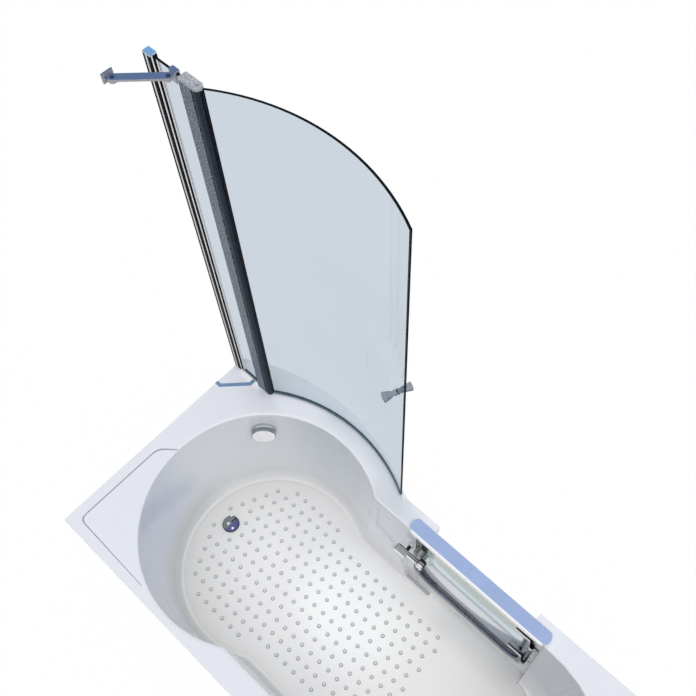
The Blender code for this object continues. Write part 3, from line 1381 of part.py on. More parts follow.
def top_bar_levels():
    """Long bar with round lobes at its ends, lying over the gap in the rim, its top edge eased."""
    left, right = REBATE_START - TOP_BAR_OVERHANG, REBATE_END + TOP_BAR_OVERHANG
    back = DOOR_PLANE - TOP_BAR_FROM_WALL
    loops = []
    for inset, up in (
        (0.0, TOP_BAR_BOTTOM),
        (0.0, TOP_BAR_BOTTOM + TOP_BAR_THICKNESS - TOP_BAR_EDGE),
        (TOP_BAR_EDGE, TOP_BAR_BOTTOM + TOP_BAR_THICKNESS),
    ):
        radius = TOP_BAR_LOBE_RADIUS
        centre_across = back + radius
        front = centre_across - radius + TOP_BAR_WIDTH - inset
        neck = acos((front - centre_across) / (radius - inset))
        points = arc((right - radius, centre_across), radius - inset, -pi / 2, pi / 2 - neck, LOBE_STEPS)
        points += arc((left + radius, centre_across), radius - inset, pi / 2 + neck, 3 * pi / 2, LOBE_STEPS)
        loops.append(level(points, up))
    return loops


def hinge_arm(name, low, axis_place):
    """Knuckle on the pin and a flat arm along the door frame."""
    high = low + HINGE_ARM_HEIGHT
    back = DOOR_BACK - SEAT_GAP
    arm_back = back - HINGE_ARM_THICKNESS
    tip = PIN_ALONG - HINGE_ARM_LENGTH
    knuckle = arc((PIN_ALONG, PIN_ACROSS), KNUCKLE_RADIUS, -pi, pi / 2, 2 * LOBE_STEPS)
    shoulder = REBATE_END - DOOR_CLEARANCE - KNUCKLE_WALL_GAP
    outline = knuckle + [
        (shoulder, PIN_ACROSS + KNUCKLE_RADIUS),
        (shoulder, back),
        (tip, back),
        (tip, arm_back),
        (PIN_ALONG - KNUCKLE_RADIUS - HINGE_ARM_THICKNESS, arm_back),
    ]
    arm = piece(name, upright(outline, low, high), "chrome", axis_place)
    base = spot(PIN_ALONG, PIN_ACROSS, low - CUT_OVERRUN)
    bore = rod(PIN_RADIUS + SEAT_GAP, base, UP, HINGE_ARM_HEIGHT + 2 * CUT_OVERRUN, SMALL_TURN_STEPS)
    combine(arm, "DIFFERENCE", tool_piece("cut_pin_" + name, bore))
    return arm


def hinge_bracket():
    """Plate on the wall with two knuckles between the arms, and the pin through all four."""
    low = HINGE_LOW + HINGE_ARM_HEIGHT + TURN_PLAY
    high = HINGE_HIGH - TURN_PLAY
    face = DOOR_PLANE - SEAT_GAP
    start = PIN_ALONG + KNUCKLE_RADIUS / 2
    bracket = piece(
        "hinge_bracket",
        box((start, start + BRACKET_WIDTH), (face - BRACKET_THICKNESS, face), (low, high)),
        "chrome",
    )
    for name, base in (("low", low), ("high", high - BRACKET_KNUCKLE_HEIGHT)):
        knuckle = rod(KNUCKLE_RADIUS, spot(PIN_ALONG, PIN_ACROSS, base), UP, BRACKET_KNUCKLE_HEIGHT)
        combine(bracket, "UNION", tool_piece("bracket_knuckle_" + name, knuckle))
    screw_along = start + BRACKET_WIDTH * 2 / 3
    for name, up in (("low", low + BRACKET_WIDTH), ("high", high - BRACKET_WIDTH)):
        base = spot(screw_along, face - BRACKET_THICKNESS / 2, up)
        reach = BRACKET_THICKNESS / 2 + BRACKET_SCREW_HEIGHT
        screw = rod(BRACKET_SCREW_RADIUS, base, TO_BACK, reach, SMALL_TURN_STEPS)
        combine(bracket, "UNION", tool_piece("bracket_screw_" + name, screw))
    bore_base = spot(PIN_ALONG, PIN_ACROSS, low - CUT_OVERRUN)
    bore = rod(PIN_RADIUS + SEAT_GAP, bore_base, UP, high - low + 2 * CUT_OVERRUN, SMALL_TURN_STEPS)
    combine(bracket, "DIFFERENCE", tool_piece("cut_bracket_pin", bore))

    pin_low, pin_high = HINGE_LOW - SEAT_GAP, HINGE_HIGH + HINGE_ARM_HEIGHT + SEAT_GAP
    foot = spot(PIN_ALONG, PIN_ACROSS, 0.0)
    profile = [
        (0.0, pin_low - PIN_HEAD_HEIGHT),
        (PIN_HEAD_RADIUS, pin_low - PIN_HEAD_HEIGHT),
        (PIN_HEAD_RADIUS, pin_low),
        (PIN_RADIUS, pin_low),
        (PIN_RADIUS, pin_high),
        (PIN_HEAD_RADIUS, pin_high),
        (PIN_HEAD_RADIUS, pin_high + PIN_HEAD_HEIGHT),
        (0.0, pin_high + PIN_HEAD_HEIGHT),
    ]
    piece("hinge_pin", turned(profile, foot, UP, SMALL_TURN_STEPS), "chrome")


def latch_body(axis_place):
    half, tall = LATCH_BODY_WIDTH / 2, LATCH_BODY_HEIGHT / 2
    centre = REBATE_START + DOOR_CLEARANCE + half
    low_corner, high_corner = (centre - half, LATCH_UP - tall), (centre + half, LATCH_UP + tall)
    outline = rounded_box(low_corner, high_corner, LATCH_BODY_CORNER)
    block = crosswise(outline, LATCH_BODY_BACK, DOOR_BACK - SEAT_GAP)
    body = piece("latch_body", block, "chrome", axis_place)
    base = spot(LATCH_ALONG, LATCH_BODY_BACK - CUT_OVERRUN, LATCH_UP)
    deep = CUT_OVERRUN + SPINDLE_LENGTH + SEAT_GAP
    bore = rod(SPINDLE_RADIUS + SEAT_GAP, base, TO_FRONT, deep, SMALL_TURN_STEPS)
    combine(body, "DIFFERENCE", tool_piece("cut_spindle_bore", bore))
    return body


def latch(swing):
    """Lever that points over the wall beside the door, with a boss that meets the keeper."""
    place = spot(LATCH_ALONG, LATCH_BODY_BACK, LATCH_UP)
    turn = axis_empty("latch_turn", place)
    hang(turn, swing)
    front, back = LEVER_FRONT, LEVER_FRONT - LEVER_HUB_DEPTH
    hub_profile = [
        (0.0, 0.0),
        (LEVER_HUB_RADIUS - KNOB_EDGE, 0.0),
        (LEVER_HUB_RADIUS, KNOB_EDGE),
        (LEVER_HUB_RADIUS, LEVER_HUB_DEPTH),
        (SPINDLE_RADIUS, LEVER_HUB_DEPTH),
        (SPINDLE_RADIUS, LEVER_HUB_DEPTH + SPINDLE_LENGTH),
        (0.0, LEVER_HUB_DEPTH + SPINDLE_LENGTH),
    ]
    hub = turned(hub_profile, spot(LATCH_ALONG, back, LATCH_UP), TO_FRONT)
    lever = piece("latch_lever", hub, "chrome", place)

    tip = LATCH_ALONG - LEVER_LENGTH
    arm_half = LEVER_ARM_HEIGHT / 2
    arm_low = LATCH_UP - LEVER_HUB_RADIUS + arm_half
    middle = (front + back) / 2
    arm = box(
        (tip + PADDLE_LENGTH / 2, LATCH_ALONG),
        (middle - LEVER_ARM_THICKNESS / 2, middle + LEVER_ARM_THICKNESS / 2),
        (arm_low - arm_half, arm_low + arm_half),
    )
    paddle_low, paddle_front = arm_low - arm_half, front - PADDLE_SET
    paddle_end = (tip + PADDLE_LENGTH, paddle_front)
    paddle_outline = rounded_box((tip, paddle_front - PADDLE_WIDTH), paddle_end, PADDLE_CORNER)
    paddle = upright(paddle_outline, paddle_low, paddle_low + PADDLE_THICKNESS)
    boss_along = LATCH_ALONG - LATCH_BOSS_REACH
    keeper_face = DOOR_PLANE - SEAT_GAP - KEEPER_THICKNESS
    boss_up = arm_low + LATCH_BOSS_RADIUS - arm_half
    boss = rod(
        LATCH_BOSS_RADIUS,
        spot(boss_along, middle, boss_up),
        TO_FRONT,
        keeper_face - SEAT_GAP - middle,
        SMALL_TURN_STEPS,
    )
    shapes = (("lever_arm", arm), ("lever_paddle", paddle), ("lever_boss", boss))
    combine(lever, "UNION", *[tool_piece(name, bm) for name, bm in shapes])
    lever.parent = turn
    lever.location = Vector()

    keeper_outline = rounded_box(
        (boss_along - KEEPER_WIDTH / 2, boss_up - KEEPER_HEIGHT / 2),
        (boss_along + KEEPER_WIDTH / 2, boss_up + KEEPER_HEIGHT / 2),
        RIM_EDGE_RADIUS,
    )
    keeper = crosswise(keeper_outline, keeper_face, DOOR_PLANE - SEAT_GAP)
    piece("latch_keeper", keeper, "white_plastic")


bath_shell()
corner_drip_rail()
recess_strip()
front_panel()
base_board()
cradle_and_legs()
waste()
overflow()
overflow_pipe()
wall_profile()
fixed_glass()
hinge_post()
screen()
brace()
door_gasket()
bath_door()
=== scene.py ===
from math import cos, hypot, pi, radians, sin

import bmesh
import bpy
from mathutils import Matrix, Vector


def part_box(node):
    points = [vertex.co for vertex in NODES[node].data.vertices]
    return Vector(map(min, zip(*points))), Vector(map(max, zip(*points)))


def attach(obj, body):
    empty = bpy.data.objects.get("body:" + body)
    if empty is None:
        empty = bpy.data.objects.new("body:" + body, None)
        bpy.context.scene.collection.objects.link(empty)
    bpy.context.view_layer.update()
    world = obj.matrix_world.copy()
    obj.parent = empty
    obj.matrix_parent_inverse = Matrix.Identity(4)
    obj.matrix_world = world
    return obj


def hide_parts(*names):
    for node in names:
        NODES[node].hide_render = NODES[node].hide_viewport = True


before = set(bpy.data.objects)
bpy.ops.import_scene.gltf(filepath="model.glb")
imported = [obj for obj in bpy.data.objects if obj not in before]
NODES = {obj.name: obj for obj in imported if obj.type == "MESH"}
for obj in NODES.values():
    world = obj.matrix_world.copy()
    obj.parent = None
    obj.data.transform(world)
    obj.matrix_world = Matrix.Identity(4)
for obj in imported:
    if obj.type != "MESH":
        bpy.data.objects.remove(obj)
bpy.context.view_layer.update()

# Places below are in metres: along the bath from its shower end, across it from the side opposite the door,
# and up from the room's floor. These come from the frame.
SHELL_LOW, SHELL_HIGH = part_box("bath_shell")
RIM = SHELL_HIGH.z
SHELL_THICKNESS = 0.006
FLOOR = SHELL_LOW.z + SHELL_THICKNESS
SCREEN_END = SHELL_HIGH.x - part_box("curved_glass")[0].x
CAP_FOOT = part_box("post_cap_top")[0].z
LATCH_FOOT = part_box("latch_body")[0].z
BAR_INNER_SIDE = SHELL_HIGH.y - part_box("door_top_bar")[1].y

# The curved screen's arc in plan, and the end of the door's recess
SCREEN_CENTRE = (0.4542, 0.2794)
SCREEN_RADIUS = 0.533
RECESS_END = 1.3055


def spot(along, across, up):
    return Vector((SHELL_HIGH.x - along, SHELL_HIGH.y - across, up))


def over_floor(heights):
    return [FLOOR + height for height in heights]


def under_rim(depths):
    return [RIM - depth for depth in depths]


# Camera, fitted to the photograph

CAMERA_PLACE = (-0.4918, 0.44379, 3.31493)
CAMERA_DEGREES = (31.65634, 0.18487, -137.89499)
CAMERA_SHIFT = (-0.05132, -0.06734)
FOCAL_LENGTH = 47.915
SENSOR_WIDTH = 36.0
VIEW_END = 50.0


def add_camera():
    data = bpy.data.cameras.new("camera")
    data.sensor_width = SENSOR_WIDTH
    data.lens = FOCAL_LENGTH
    data.shift_x, data.shift_y = CAMERA_SHIFT
    data.clip_end = VIEW_END
    camera = bpy.data.objects.new("camera", data)
    camera.location = CAMERA_PLACE
    camera.rotation_euler = [radians(turn) for turn in CAMERA_DEGREES]
    bpy.context.scene.collection.objects.link(camera)
    bpy.context.scene.camera = camera


# Nodes

MIX_FIRST, MIX_SECOND, MIX_RESULT = 6, 7, 2  # The colour sockets of a Mix node
EDGE = 0.0004  # Half the width of the soft edge of a painted strip


def add_node(tree, kind, **settings):
    made = tree.nodes.new(kind)
    for key, value in settings.items():
        setattr(made, key, value)
    return made


def add_maths(tree, operation, *values):
    """The result of a maths node. Each value is a number or the output of another node."""
    made = add_node(tree, "ShaderNodeMath", operation=operation)
    for i, value in enumerate(values):
        if isinstance(value, (int, float)):
            made.inputs[i].default_value = value
        else:
            tree.links.new(value, made.inputs[i])
    return made.outputs["Value"]


def dimmed(colour, share):
    return tuple(value * share for value in colour)


class Shader:
    """A Principled material with short calls for its nodes. Every CAD node has its origin at the frame's own,
    so object coordinates are places in the frame."""

    def __init__(self, name, colour, roughness, metallic=0.0, **settings):
        self.material = bpy.data.materials.new(name)
        self.material.use_nodes = True
        self.tree = self.material.node_tree
        self.bsdf = self.tree.nodes["Principled BSDF"]
        self.set("Base Color", (*colour, 1.0))
        self.set("Roughness", roughness)
        self.set("Metallic", metallic)
        for key, value in settings.items():
            self.set(key.replace("_", " "), value)
        self.coordinates = add_node(self.tree, "ShaderNodeTexCoord").outputs
        self.place = self.coordinates["Object"]

    # Sockets of the shader

    def set(self, socket, value):
        self.bsdf.inputs[socket].default_value = value

    def link(self, source, target):
        self.tree.links.new(source, target)

    def feed(self, socket, source):
        self.link(source, self.bsdf.inputs[socket])

    def colour(self, source):
        self.feed("Base Color", source)

    def roughness(self, source):
        self.feed("Roughness", source)

    # Values over the surface

    def noise(self, scale, detail=2.0, stretch=None, roughness=0.5):
        made = add_node(self.tree, "ShaderNodeTexNoise")
        made.inputs["Scale"].default_value = scale
        made.inputs["Detail"].default_value = detail
        made.inputs["Roughness"].default_value = roughness
        source = self.place
        if stretch:
            mapping = add_node(self.tree, "ShaderNodeMapping")
            mapping.inputs["Scale"].default_value = stretch
            self.link(source, mapping.inputs["Vector"])
            source = mapping.outputs["Vector"]
        self.link(source, made.inputs["Vector"])
        return made.outputs["Fac"]

    def maths(self, operation, *values):
        return add_maths(self.tree, operation, *values)

    def span(self, value, low, high, out_low=0.0, out_high=1.0, smooth=True):
        """Goes from out_low to out_high as the value goes from low to high."""
        made = add_node(self.tree, "ShaderNodeMapRange")
        made.interpolation_type = "SMOOTHSTEP" if smooth else "LINEAR"
        self.link(value, made.inputs["Value"])
        made.inputs["From Min"].default_value = low
        made.inputs["From Max"].default_value = high
        made.inputs["To Min"].default_value = out_low
        made.inputs["To Max"].default_value = out_high
        return made.outputs["Result"]

    def fall(self, value, low, high):
        """1 below low and 0 above high."""
        return self.span(value, low, high, 1.0, 0.0)

    def patches(self, scale, detail=2.0, stretch=None, cut=(0.3, 0.7), values=(0.0, 1.0)):
        """Noise spread over a range. cut is the part of the noise that the range takes."""
        return self.span(self.noise(scale, detail, stretch), *cut, *values)

    def axis(self, letter, source=None):
        made = add_node(self.tree, "ShaderNodeSeparateXYZ")
        self.link(source or self.place, made.inputs["Vector"])
        return made.outputs[letter]

    def along(self):
        return self.maths("SUBTRACT", SHELL_HIGH.x, self.axis("X"))

    def across(self):
        return self.maths("SUBTRACT", SHELL_HIGH.y, self.axis("Y"))

    def normal(self, letter):
        return self.axis(letter, self.coordinates["Normal"])

    def away(self, along, across, centre, reach):
        """Distance from a place in plan, as a share of the reach each way."""
        parts = []
        for value, middle, span in zip((along, across), centre, reach):
            part = self.maths("MULTIPLY", self.maths("SUBTRACT", value, middle), 1.0 / span)
            parts.append(self.maths("MULTIPLY", part, part))
        return self.maths("SQRT", self.maths("ADD", *parts))

    # Masks, which are 1 where something is and 0 elsewhere

    def band(self, value, start, end, edge=EDGE):
        """1 from start to end, with a soft edge."""
        rise = self.span(value, start - edge, start + edge)
        return self.both(rise, self.fall(value, end - edge, end + edge))

    def facing(self, axis, low=0.5, high=0.8):
        """1 on the faces that look along an axis, such as "Z" or "-X"."""
        value = self.normal(axis[-1])
        if axis.startswith("-"):
            value = self.maths("MULTIPLY", value, -1.0)
        return self.span(value, low, high)

    def both(self, *masks):
        """1 where every mask is 1. A number among them weakens the result."""
        product = masks[0]
        for mask in masks[1:]:
            product = self.maths("MULTIPLY", product, mask)
        return product

    # Colours

    def mix(self, mask, first, second):
        """The first colour where the mask is 0, and the second where it is 1."""
        made = add_node(self.tree, "ShaderNodeMix", data_type="RGBA")
        self.link(mask, made.inputs["Factor"])
        for index, value in ((MIX_FIRST, first), (MIX_SECOND, second)):
            if isinstance(value, tuple):
                made.inputs[index].default_value = (*value, 1.0)
            else:
                self.link(value, made.inputs[index])
        return made.outputs[MIX_RESULT]

    def paint(self, base, *layers):
        """Lays colours over a base in turn, each by its own mask."""
        for mask, colour in layers:
            base = self.mix(mask, base, colour)
        return base

    def stripes(self, value, base, bands, edge=EDGE):
        return self.paint(base, *((self.band(value, start, end, edge), tint) for start, end, tint in bands))

    # Finishes

    def bump(self, height, strength, distance):
        made = add_node(self.tree, "ShaderNodeBump")
        made.inputs["Strength"].default_value = strength
        made.inputs["Distance"].default_value = distance
        self.link(height, made.inputs["Height"])
        self.feed("Normal", made.outputs["Normal"])

    def brushed(self):
        """The faint grain of polished metal."""
        self.bump(self.noise(240.0), 0.03, 0.0003)

    def uneven(self, scale, rough):
        """Roughness that drifts about a value."""
        self.roughness(self.patches(scale, 3.0, values=(rough * 0.8, rough * 1.2)))

    def let_light_through(self):
        """Most shadow and diffuse rays pass straight through, so that clear glass hardly darkens what is
        behind it. The render otherwise drops the light that glass bends."""
        share = 0.97
        path = add_node(self.tree, "ShaderNodeLightPath").outputs
        free = self.maths("MAXIMUM", path["Is Shadow Ray"], path["Is Diffuse Ray"])
        self.feed("Alpha", self.maths("MULTIPLY_ADD", free, -share, 1.0))


# Materials. The strips, spots and tints by place are painted light, shade and reflections: they stand for
# what the polished surfaces mirror and for the light and shade on the white ones in the photograph. They
# belong to the object, so they stay where they are in every view.

BLACK = (0.006, 0.006, 0.008)
# LIT is the colour of painted highlights and painted reflections of the bright room
LIT = (0.97, 0.97, 0.98)
DECK = (0.79, 0.81, 0.88)
METAL_GREY = (0.36, 0.37, 0.39)
LATCH_GREY = (0.26, 0.29, 0.28)
GLASS_TINT = (0.612, 0.672, 0.735)
# Painted shade on glass edges, which stands for their dark look, greener near the foot
GLASS_EDGE = (0.007, 0.011, 0.014)
GLASS_EDGE_AT_FOOT = (0.04, 0.08, 0.10)
DRAWN_UPWARDS = (1.0, 1.0, 0.05)  # Stretches noise into upright streaks
SPECKLE = 0.85  # How much of the fleck's colour shows on speckled metal

# Where the acrylic's painted light and shade change. Heights over the floor:
FLOOR_TURN = (0.0002, 0.0008)
# The painted highlight line where the floor turns up:
LIT_TURN_LINE = (0.0012, 0.0045)
WALL_RISE = (0.03, 0.16)
# Depths under the rim:
RIM_TURN = (0.014, 0.002)
RECESS_TOP = (0.012, 0.008)
# The painted shade in the deck's groove, and the painted highlight on the rim's curve:
DECK_GROOVE_SHADE = (0.0055, 0.0038)
RIM_HIGHLIGHT = (0.0042, 0.0008)
# Places in plan, each with its reach along and across: the middle of the painted pool of light on the floor,
# then
# the middle of the painted shade on the deck beside the latch:
LIT_POOL_MIDDLE, LIT_POOL_REACH = (0.76, 0.47), (0.29, 0.24)
LATCH_SHADE_MIDDLE, LATCH_SHADE_REACH = (0.70, 0.70), (0.13, 0.06)
# How strongly the painted shadow along the screen and the random clouds show:
SCREEN_SHADE = 0.8
CLOUD_SHADE = 0.15


def acrylic_floor(made, along, across):
    """The floor carries painted light and shade: a painted pool of light, palest in the middle of the lying
    part, and painted shade, greyest by the door.
    """
    # pale is the painted pool of light; plain, far and the grey by the door are painted shade
    pale, plain = (0.98, 0.975, 0.96), (0.865, 0.85, 0.835)
    far, shade_by_door = (0.80, 0.785, 0.76), (0.67, 0.665, 0.66)
    off_lit_pool = made.away(along, across, LIT_POOL_MIDDLE, LIT_POOL_REACH)
    in_door_shade = made.both(made.span(across, 0.56, 0.67), made.span(along, 0.9, 1.05))
    return made.paint(
        pale,
        (made.span(off_lit_pool, 0.3, 1.1), plain),
        (made.span(off_lit_pool, 1.1, 2.0), far),
        (in_door_shade, shade_by_door),
    )


def acrylic_low_wall(made, up, across):
    """The foot of the wall has painted light and shade: palest in its middle, and painted shade on the side
    opposite and by the door. Below it runs a painted highlight, the pale line where the floor turns up.
    """
    # opposite and the grey by the door are painted shade, and middle is painted light
    opposite, middle, shade_by_door = (0.69, 0.70, 0.70), (0.87, 0.865, 0.86), (0.74, 0.72, 0.705)
    lit_turn_line = (0.88, 0.865, 0.84)
    wall = made.mix(made.span(across, 0.3, 0.5), opposite, middle)
    wall = made.mix(made.span(across, 0.68, 0.76), wall, shade_by_door)
    return made.mix(made.span(up, *over_floor(LIT_TURN_LINE)), lit_turn_line, wall)


def acrylic_high_wall(made, along, across):
    """The top of the wall has painted light and shade: palest in its middle, and painted shade on the side
    opposite, by the door and the latch, and greyer at the hinge and the foot end.
    """
    # opposite is painted shade and middle painted light; the rest are painted shade
    opposite, middle, shade_by_door = (0.70, 0.745, 0.86), (0.86, 0.875, 0.90), (0.69, 0.73, 0.79)
    shade_by_latch, shade_by_hinge, shaded_foot_end = (0.80, 0.82, 0.85), (0.60, 0.60, 0.61), (0.64, 0.68, 0.73)
    in_latch_shade = made.both(made.band(along, 0.75, 0.87, 0.02), made.span(across, 0.64, 0.68))
    in_hinge_shade = made.both(made.span(along, 1.255, 1.285), made.span(across, 0.62, 0.65))
    return made.paint(
        opposite,
        (made.span(across, 0.22, 0.45), middle),
        (made.span(across, 0.66, 0.74), shade_by_door),
        (in_latch_shade, shade_by_latch),
        (in_hinge_shade, shade_by_hinge),
        (made.span(along, 1.24, 1.34), shaded_foot_end),
    )


def acrylic_deck(made, along, across, from_screen):
    """The deck has painted shade, greyer beside the latch, and a painted shadow along the inner side of the
    screen.
    """
    shade_by_latch, screen_shadow = (0.67, 0.695, 0.76), (0.62, 0.66, 0.71)
    off_latch_shade = made.span(made.away(along, across, LATCH_SHADE_MIDDLE, LATCH_SHADE_REACH), 0.3, 1.2)
    near_screen = made.span(from_screen, SCREEN_RADIUS - 0.075, SCREEN_RADIUS - 0.01)
    in_screen_shadow = made.both(near_screen, made.band(along, 0.34, 0.74, 0.05), SCREEN_SHADE)
    return made.mix(in_screen_shadow, made.mix(off_latch_shade, shade_by_latch, DECK), screen_shadow)


def acrylic():
    """White acrylic, with light and shade painted into its tint by place: painted light and shade on floor,
    wall and deck, then over them a painted highlight on the rim's curve, painted shade in the deck's groove,
    soft random clouds, a painted highlight on the lip past the screen and painted shade in the recess's
    corner."""
    made = Shader("acrylic", DECK, 0.2, Coat_Weight=0.3, Coat_Roughness=0.08)
    up, along, across = made.axis("Z"), made.along(), made.across()
    from_screen = made.away(along, across, SCREEN_CENTRE, (1.0, 1.0))

    floor, low_wall = acrylic_floor(made, along, across), acrylic_low_wall(made, up, across)
    high_wall, deck = acrylic_high_wall(made, along, across), acrylic_deck(made, along, across, from_screen)
    tub = made.mix(made.span(up, *over_floor(FLOOR_TURN)), floor, low_wall)
    tub = made.mix(made.span(up, *over_floor(WALL_RISE), smooth=False), tub, high_wall)
    tub = made.mix(made.span(up, *under_rim(RIM_TURN)), tub, deck)

    # Painted marks: a highlight on the rim's curve, shade in the groove and the recess's corner, light on the
    # lip
    turned_down = made.fall(made.normal("Z"), 0.93, 0.98)
    rim_highlight = made.both(made.band(up, *under_rim(RIM_HIGHLIGHT)), turned_down)
    groove = made.both(made.band(up, *under_rim(DECK_GROOVE_SHADE)), made.facing("Z", 0.985, 0.995))
    clouds = made.both(made.patches(3.2, 3.0, cut=(0.35, 0.65)), CLOUD_SHADE)
    past_screen = made.span(from_screen, SCREEN_RADIUS, SCREEN_RADIUS + 0.004)
    lip = made.both(past_screen, made.band(along, 0.02, 0.72, 0.02), made.span(across, 0.69, 0.71))
    recess_end = made.band(along, RECESS_END - 0.001, RECESS_END + 0.0008)
    below_rim = made.fall(up, *under_rim(RECESS_TOP))
    corner = made.both(recess_end, made.span(across, 0.64, 0.645), below_rim)
    made.colour(made.paint(
        tub,
        (rim_highlight, (0.96, 0.97, 0.985)),
        (groove, (0.33, 0.36, 0.42)),
        (clouds, (0.80, 0.81, 0.83)),
        (lip, (0.97, 0.975, 0.98)),
        (corner, (0.33, 0.34, 0.36)),
    ))
    made.roughness(made.patches(14.0, 4.0, values=(0.15, 0.26)))
    made.bump(made.noise(900.0), 0.02, 0.0003)
    return made.material


def grip_plastic():
    """The floor's domes carry painted light and shade: a painted highlight, palest on the crown, and painted
    shade, darkest on the side away from the shower end and the door."""
    # crown is a painted highlight, and the two sides painted light and shade
    shaded_side, lit_side, crown = (0.26, 0.265, 0.27), (0.42, 0.42, 0.42), (0.70, 0.70, 0.695)
    made = Shader("grip_plastic", (0.6, 0.6, 0.6), 0.15, Coat_Weight=0.5)
    facing_light = made.span(made.maths("SUBTRACT", made.normal("X"), made.normal("Y")), 0.05, 0.3)
    foot = made.mix(facing_light, shaded_side, lit_side)
    made.colour(made.mix(made.facing("Z", 0.955, 0.995), foot, crown))
    made.roughness(made.patches(60.0, values=(0.12, 0.22)))
    return made.material


def chrome(name="chrome", colour=(0.62, 0.65, 0.70), rough=0.12):
    """Bright metal, a little smeared."""
    made = Shader(name, colour, rough, 1.0)
    made.roughness(made.patches(24.0, 4.0, cut=(0.3, 0.75), values=(rough * 0.6, rough * 1.9)))
    made.colour(made.mix(made.patches(7.0, cut=(0.35, 0.7)), colour, dimmed(colour, 0.9)))
    made.bump(made.noise(160.0), 0.03, 0.0004)
    return made.material


def faced_chrome(name, top, side, rough, metallic, low=0.45, high=0.8, mirror=None, lit_to=None):
    """Polished metal whose level and upright faces mirror unlike things, painted in as reflections: top and
    side are their painted colours. low and high are how far up a face looks where its colour turns from side
    to top. mirror is the metallic value of the upright faces where it differs, and lit_to is how far across
    the bath the level ones have a painted highlight along their edge."""
    made = Shader(name, top, rough, metallic)
    level = made.facing("Z", low, high)
    tint = made.mix(made.patches(11.0, stretch=(1.0, 0.3, 1.0)), top, dimmed(top, 0.93))
    if lit_to is not None:
        tint = made.mix(made.fall(made.across(), lit_to - EDGE, lit_to + EDGE), tint, LIT)
    made.colour(made.mix(level, side, tint))
    made.uneven(30.0, rough)
    if mirror is not None:
        made.feed("Metallic", made.span(level, 0.0, 1.0, mirror, metallic, False))
    made.brushed()
    return made.material


def banded_metal(name, base, rough, metallic, bands, level=None):
    """Metal with painted strips along the bath, which are painted reflections. level is the painted colour of
    its level faces, where that differs.
    """
    made = Shader(name, base, rough, metallic)
    smear = made.patches(26.0, 3.0)
    tint = made.stripes(made.along(), made.mix(smear, base, dimmed(base, 0.9)), bands)
    made.colour(made.mix(made.facing("Z"), tint, level) if level else tint)
    made.roughness(made.span(smear, 0.0, 1.0, rough * 0.8, rough * 1.2))
    made.brushed()
    return made.material


def profile_metal():
    """The wall profile: polished, with the dark and bright flutes that run up its inner face painted in as
    stripes of shade and highlight, and a painted highlight line along its flank.
    """
    white, grey, plain = (0.95, 0.95, 0.96), (0.5, 0.51, 0.52), (0.5, 0.52, 0.55)
    flutes = (
        (0.0, 0.0072, BLACK),
        (0.0088, 0.0096, grey),
        (0.0112, 0.012, grey),
        (0.0137, 0.06, BLACK),
    )
    flank_highlight = ((0.7168, 0.7202, white),)
    made = Shader("profile_metal", (0.62, 0.64, 0.66), 0.35, IOR=1.08, Specular_IOR_Level=0.15)
    inner = made.stripes(made.along(), white, flutes, 0.0003)
    flank = made.stripes(made.across(), BLACK, flank_highlight, 0.0002)
    tint = made.mix(made.facing("Y", 0.4, 0.7), plain, inner)
    made.colour(made.mix(made.facing("-X", 0.4, 0.7), tint, flank))
    made.roughness(made.patches(60.0, stretch=DRAWN_UPWARDS, values=(0.3, 0.45)))
    return made.material


def anodised(name, colour, fleck, scale, bands=(), cap=None):
    """Speckled metal. bands are strips along the bath, such as a painted highlight along an edge, and cap is
    the colour of the end that shows in the top cap's hole."""
    made = Shader(name, colour, 0.45, 0.2, IOR=1.2, Specular_IOR_Level=0.3)
    grain = made.patches(scale, 3.0, cut=(0.47, 0.60))
    base = made.mix(made.patches(60.0, stretch=DRAWN_UPWARDS), colour, dimmed(colour, 0.85))
    speckled = made.mix(made.both(grain, SPECKLE), base, fleck)
    tint = made.stripes(made.along(), speckled, bands, 0.0006)
    if cap:
        tint = made.mix(made.span(made.axis("Z"), CAP_FOOT, CAP_FOOT + 0.001), tint, cap)
    made.colour(tint)
    made.roughness(made.span(grain, 0.0, 1.0, 0.35, 0.6))
    made.bump(grain, 0.12, 0.0003)
    return made.material


# The lever's painted strips across the bath, on its grip and its arm, and where it changes along the bath:
# dark painted reflections along the far edges and over the arm, and painted highlights along the inner side
LEVER_EDGE = 0.0005
GRIP_STRIPS = ((0.6605, 0.69, BLACK), (0.63, 0.6402, LIT))
ARM_STRIPS = ((0.6535, 0.6595, METAL_GREY), (0.63, 0.6508, LIT))
GRIP_LINE = (0.7765, 0.7787)
ARM_START = (0.8205, 0.8225)


def lever_metal():
    """The lever, with painted reflections: bright along its inner side, dark along its far edge and over the
    arm.
    """
    made = Shader("lever_metal", METAL_GREY, 0.25, 0.3)
    along, across = made.along(), made.across()
    grip = made.stripes(across, (0.36, 0.38, 0.40), GRIP_STRIPS, LEVER_EDGE)
    arm = made.stripes(across, BLACK, ARM_STRIPS, LEVER_EDGE)
    top = made.mix(made.band(along, *GRIP_LINE), grip, BLACK)
    top = made.mix(made.span(along, *ARM_START), top, arm)
    inner = made.facing("Y")
    made.colour(made.mix(made.facing("Z"), made.mix(inner, BLACK, LIT), top))
    made.feed("Metallic", made.span(inner, 0.0, 1.0, 0.2, 0.9, False))
    made.brushed()
    return made.material


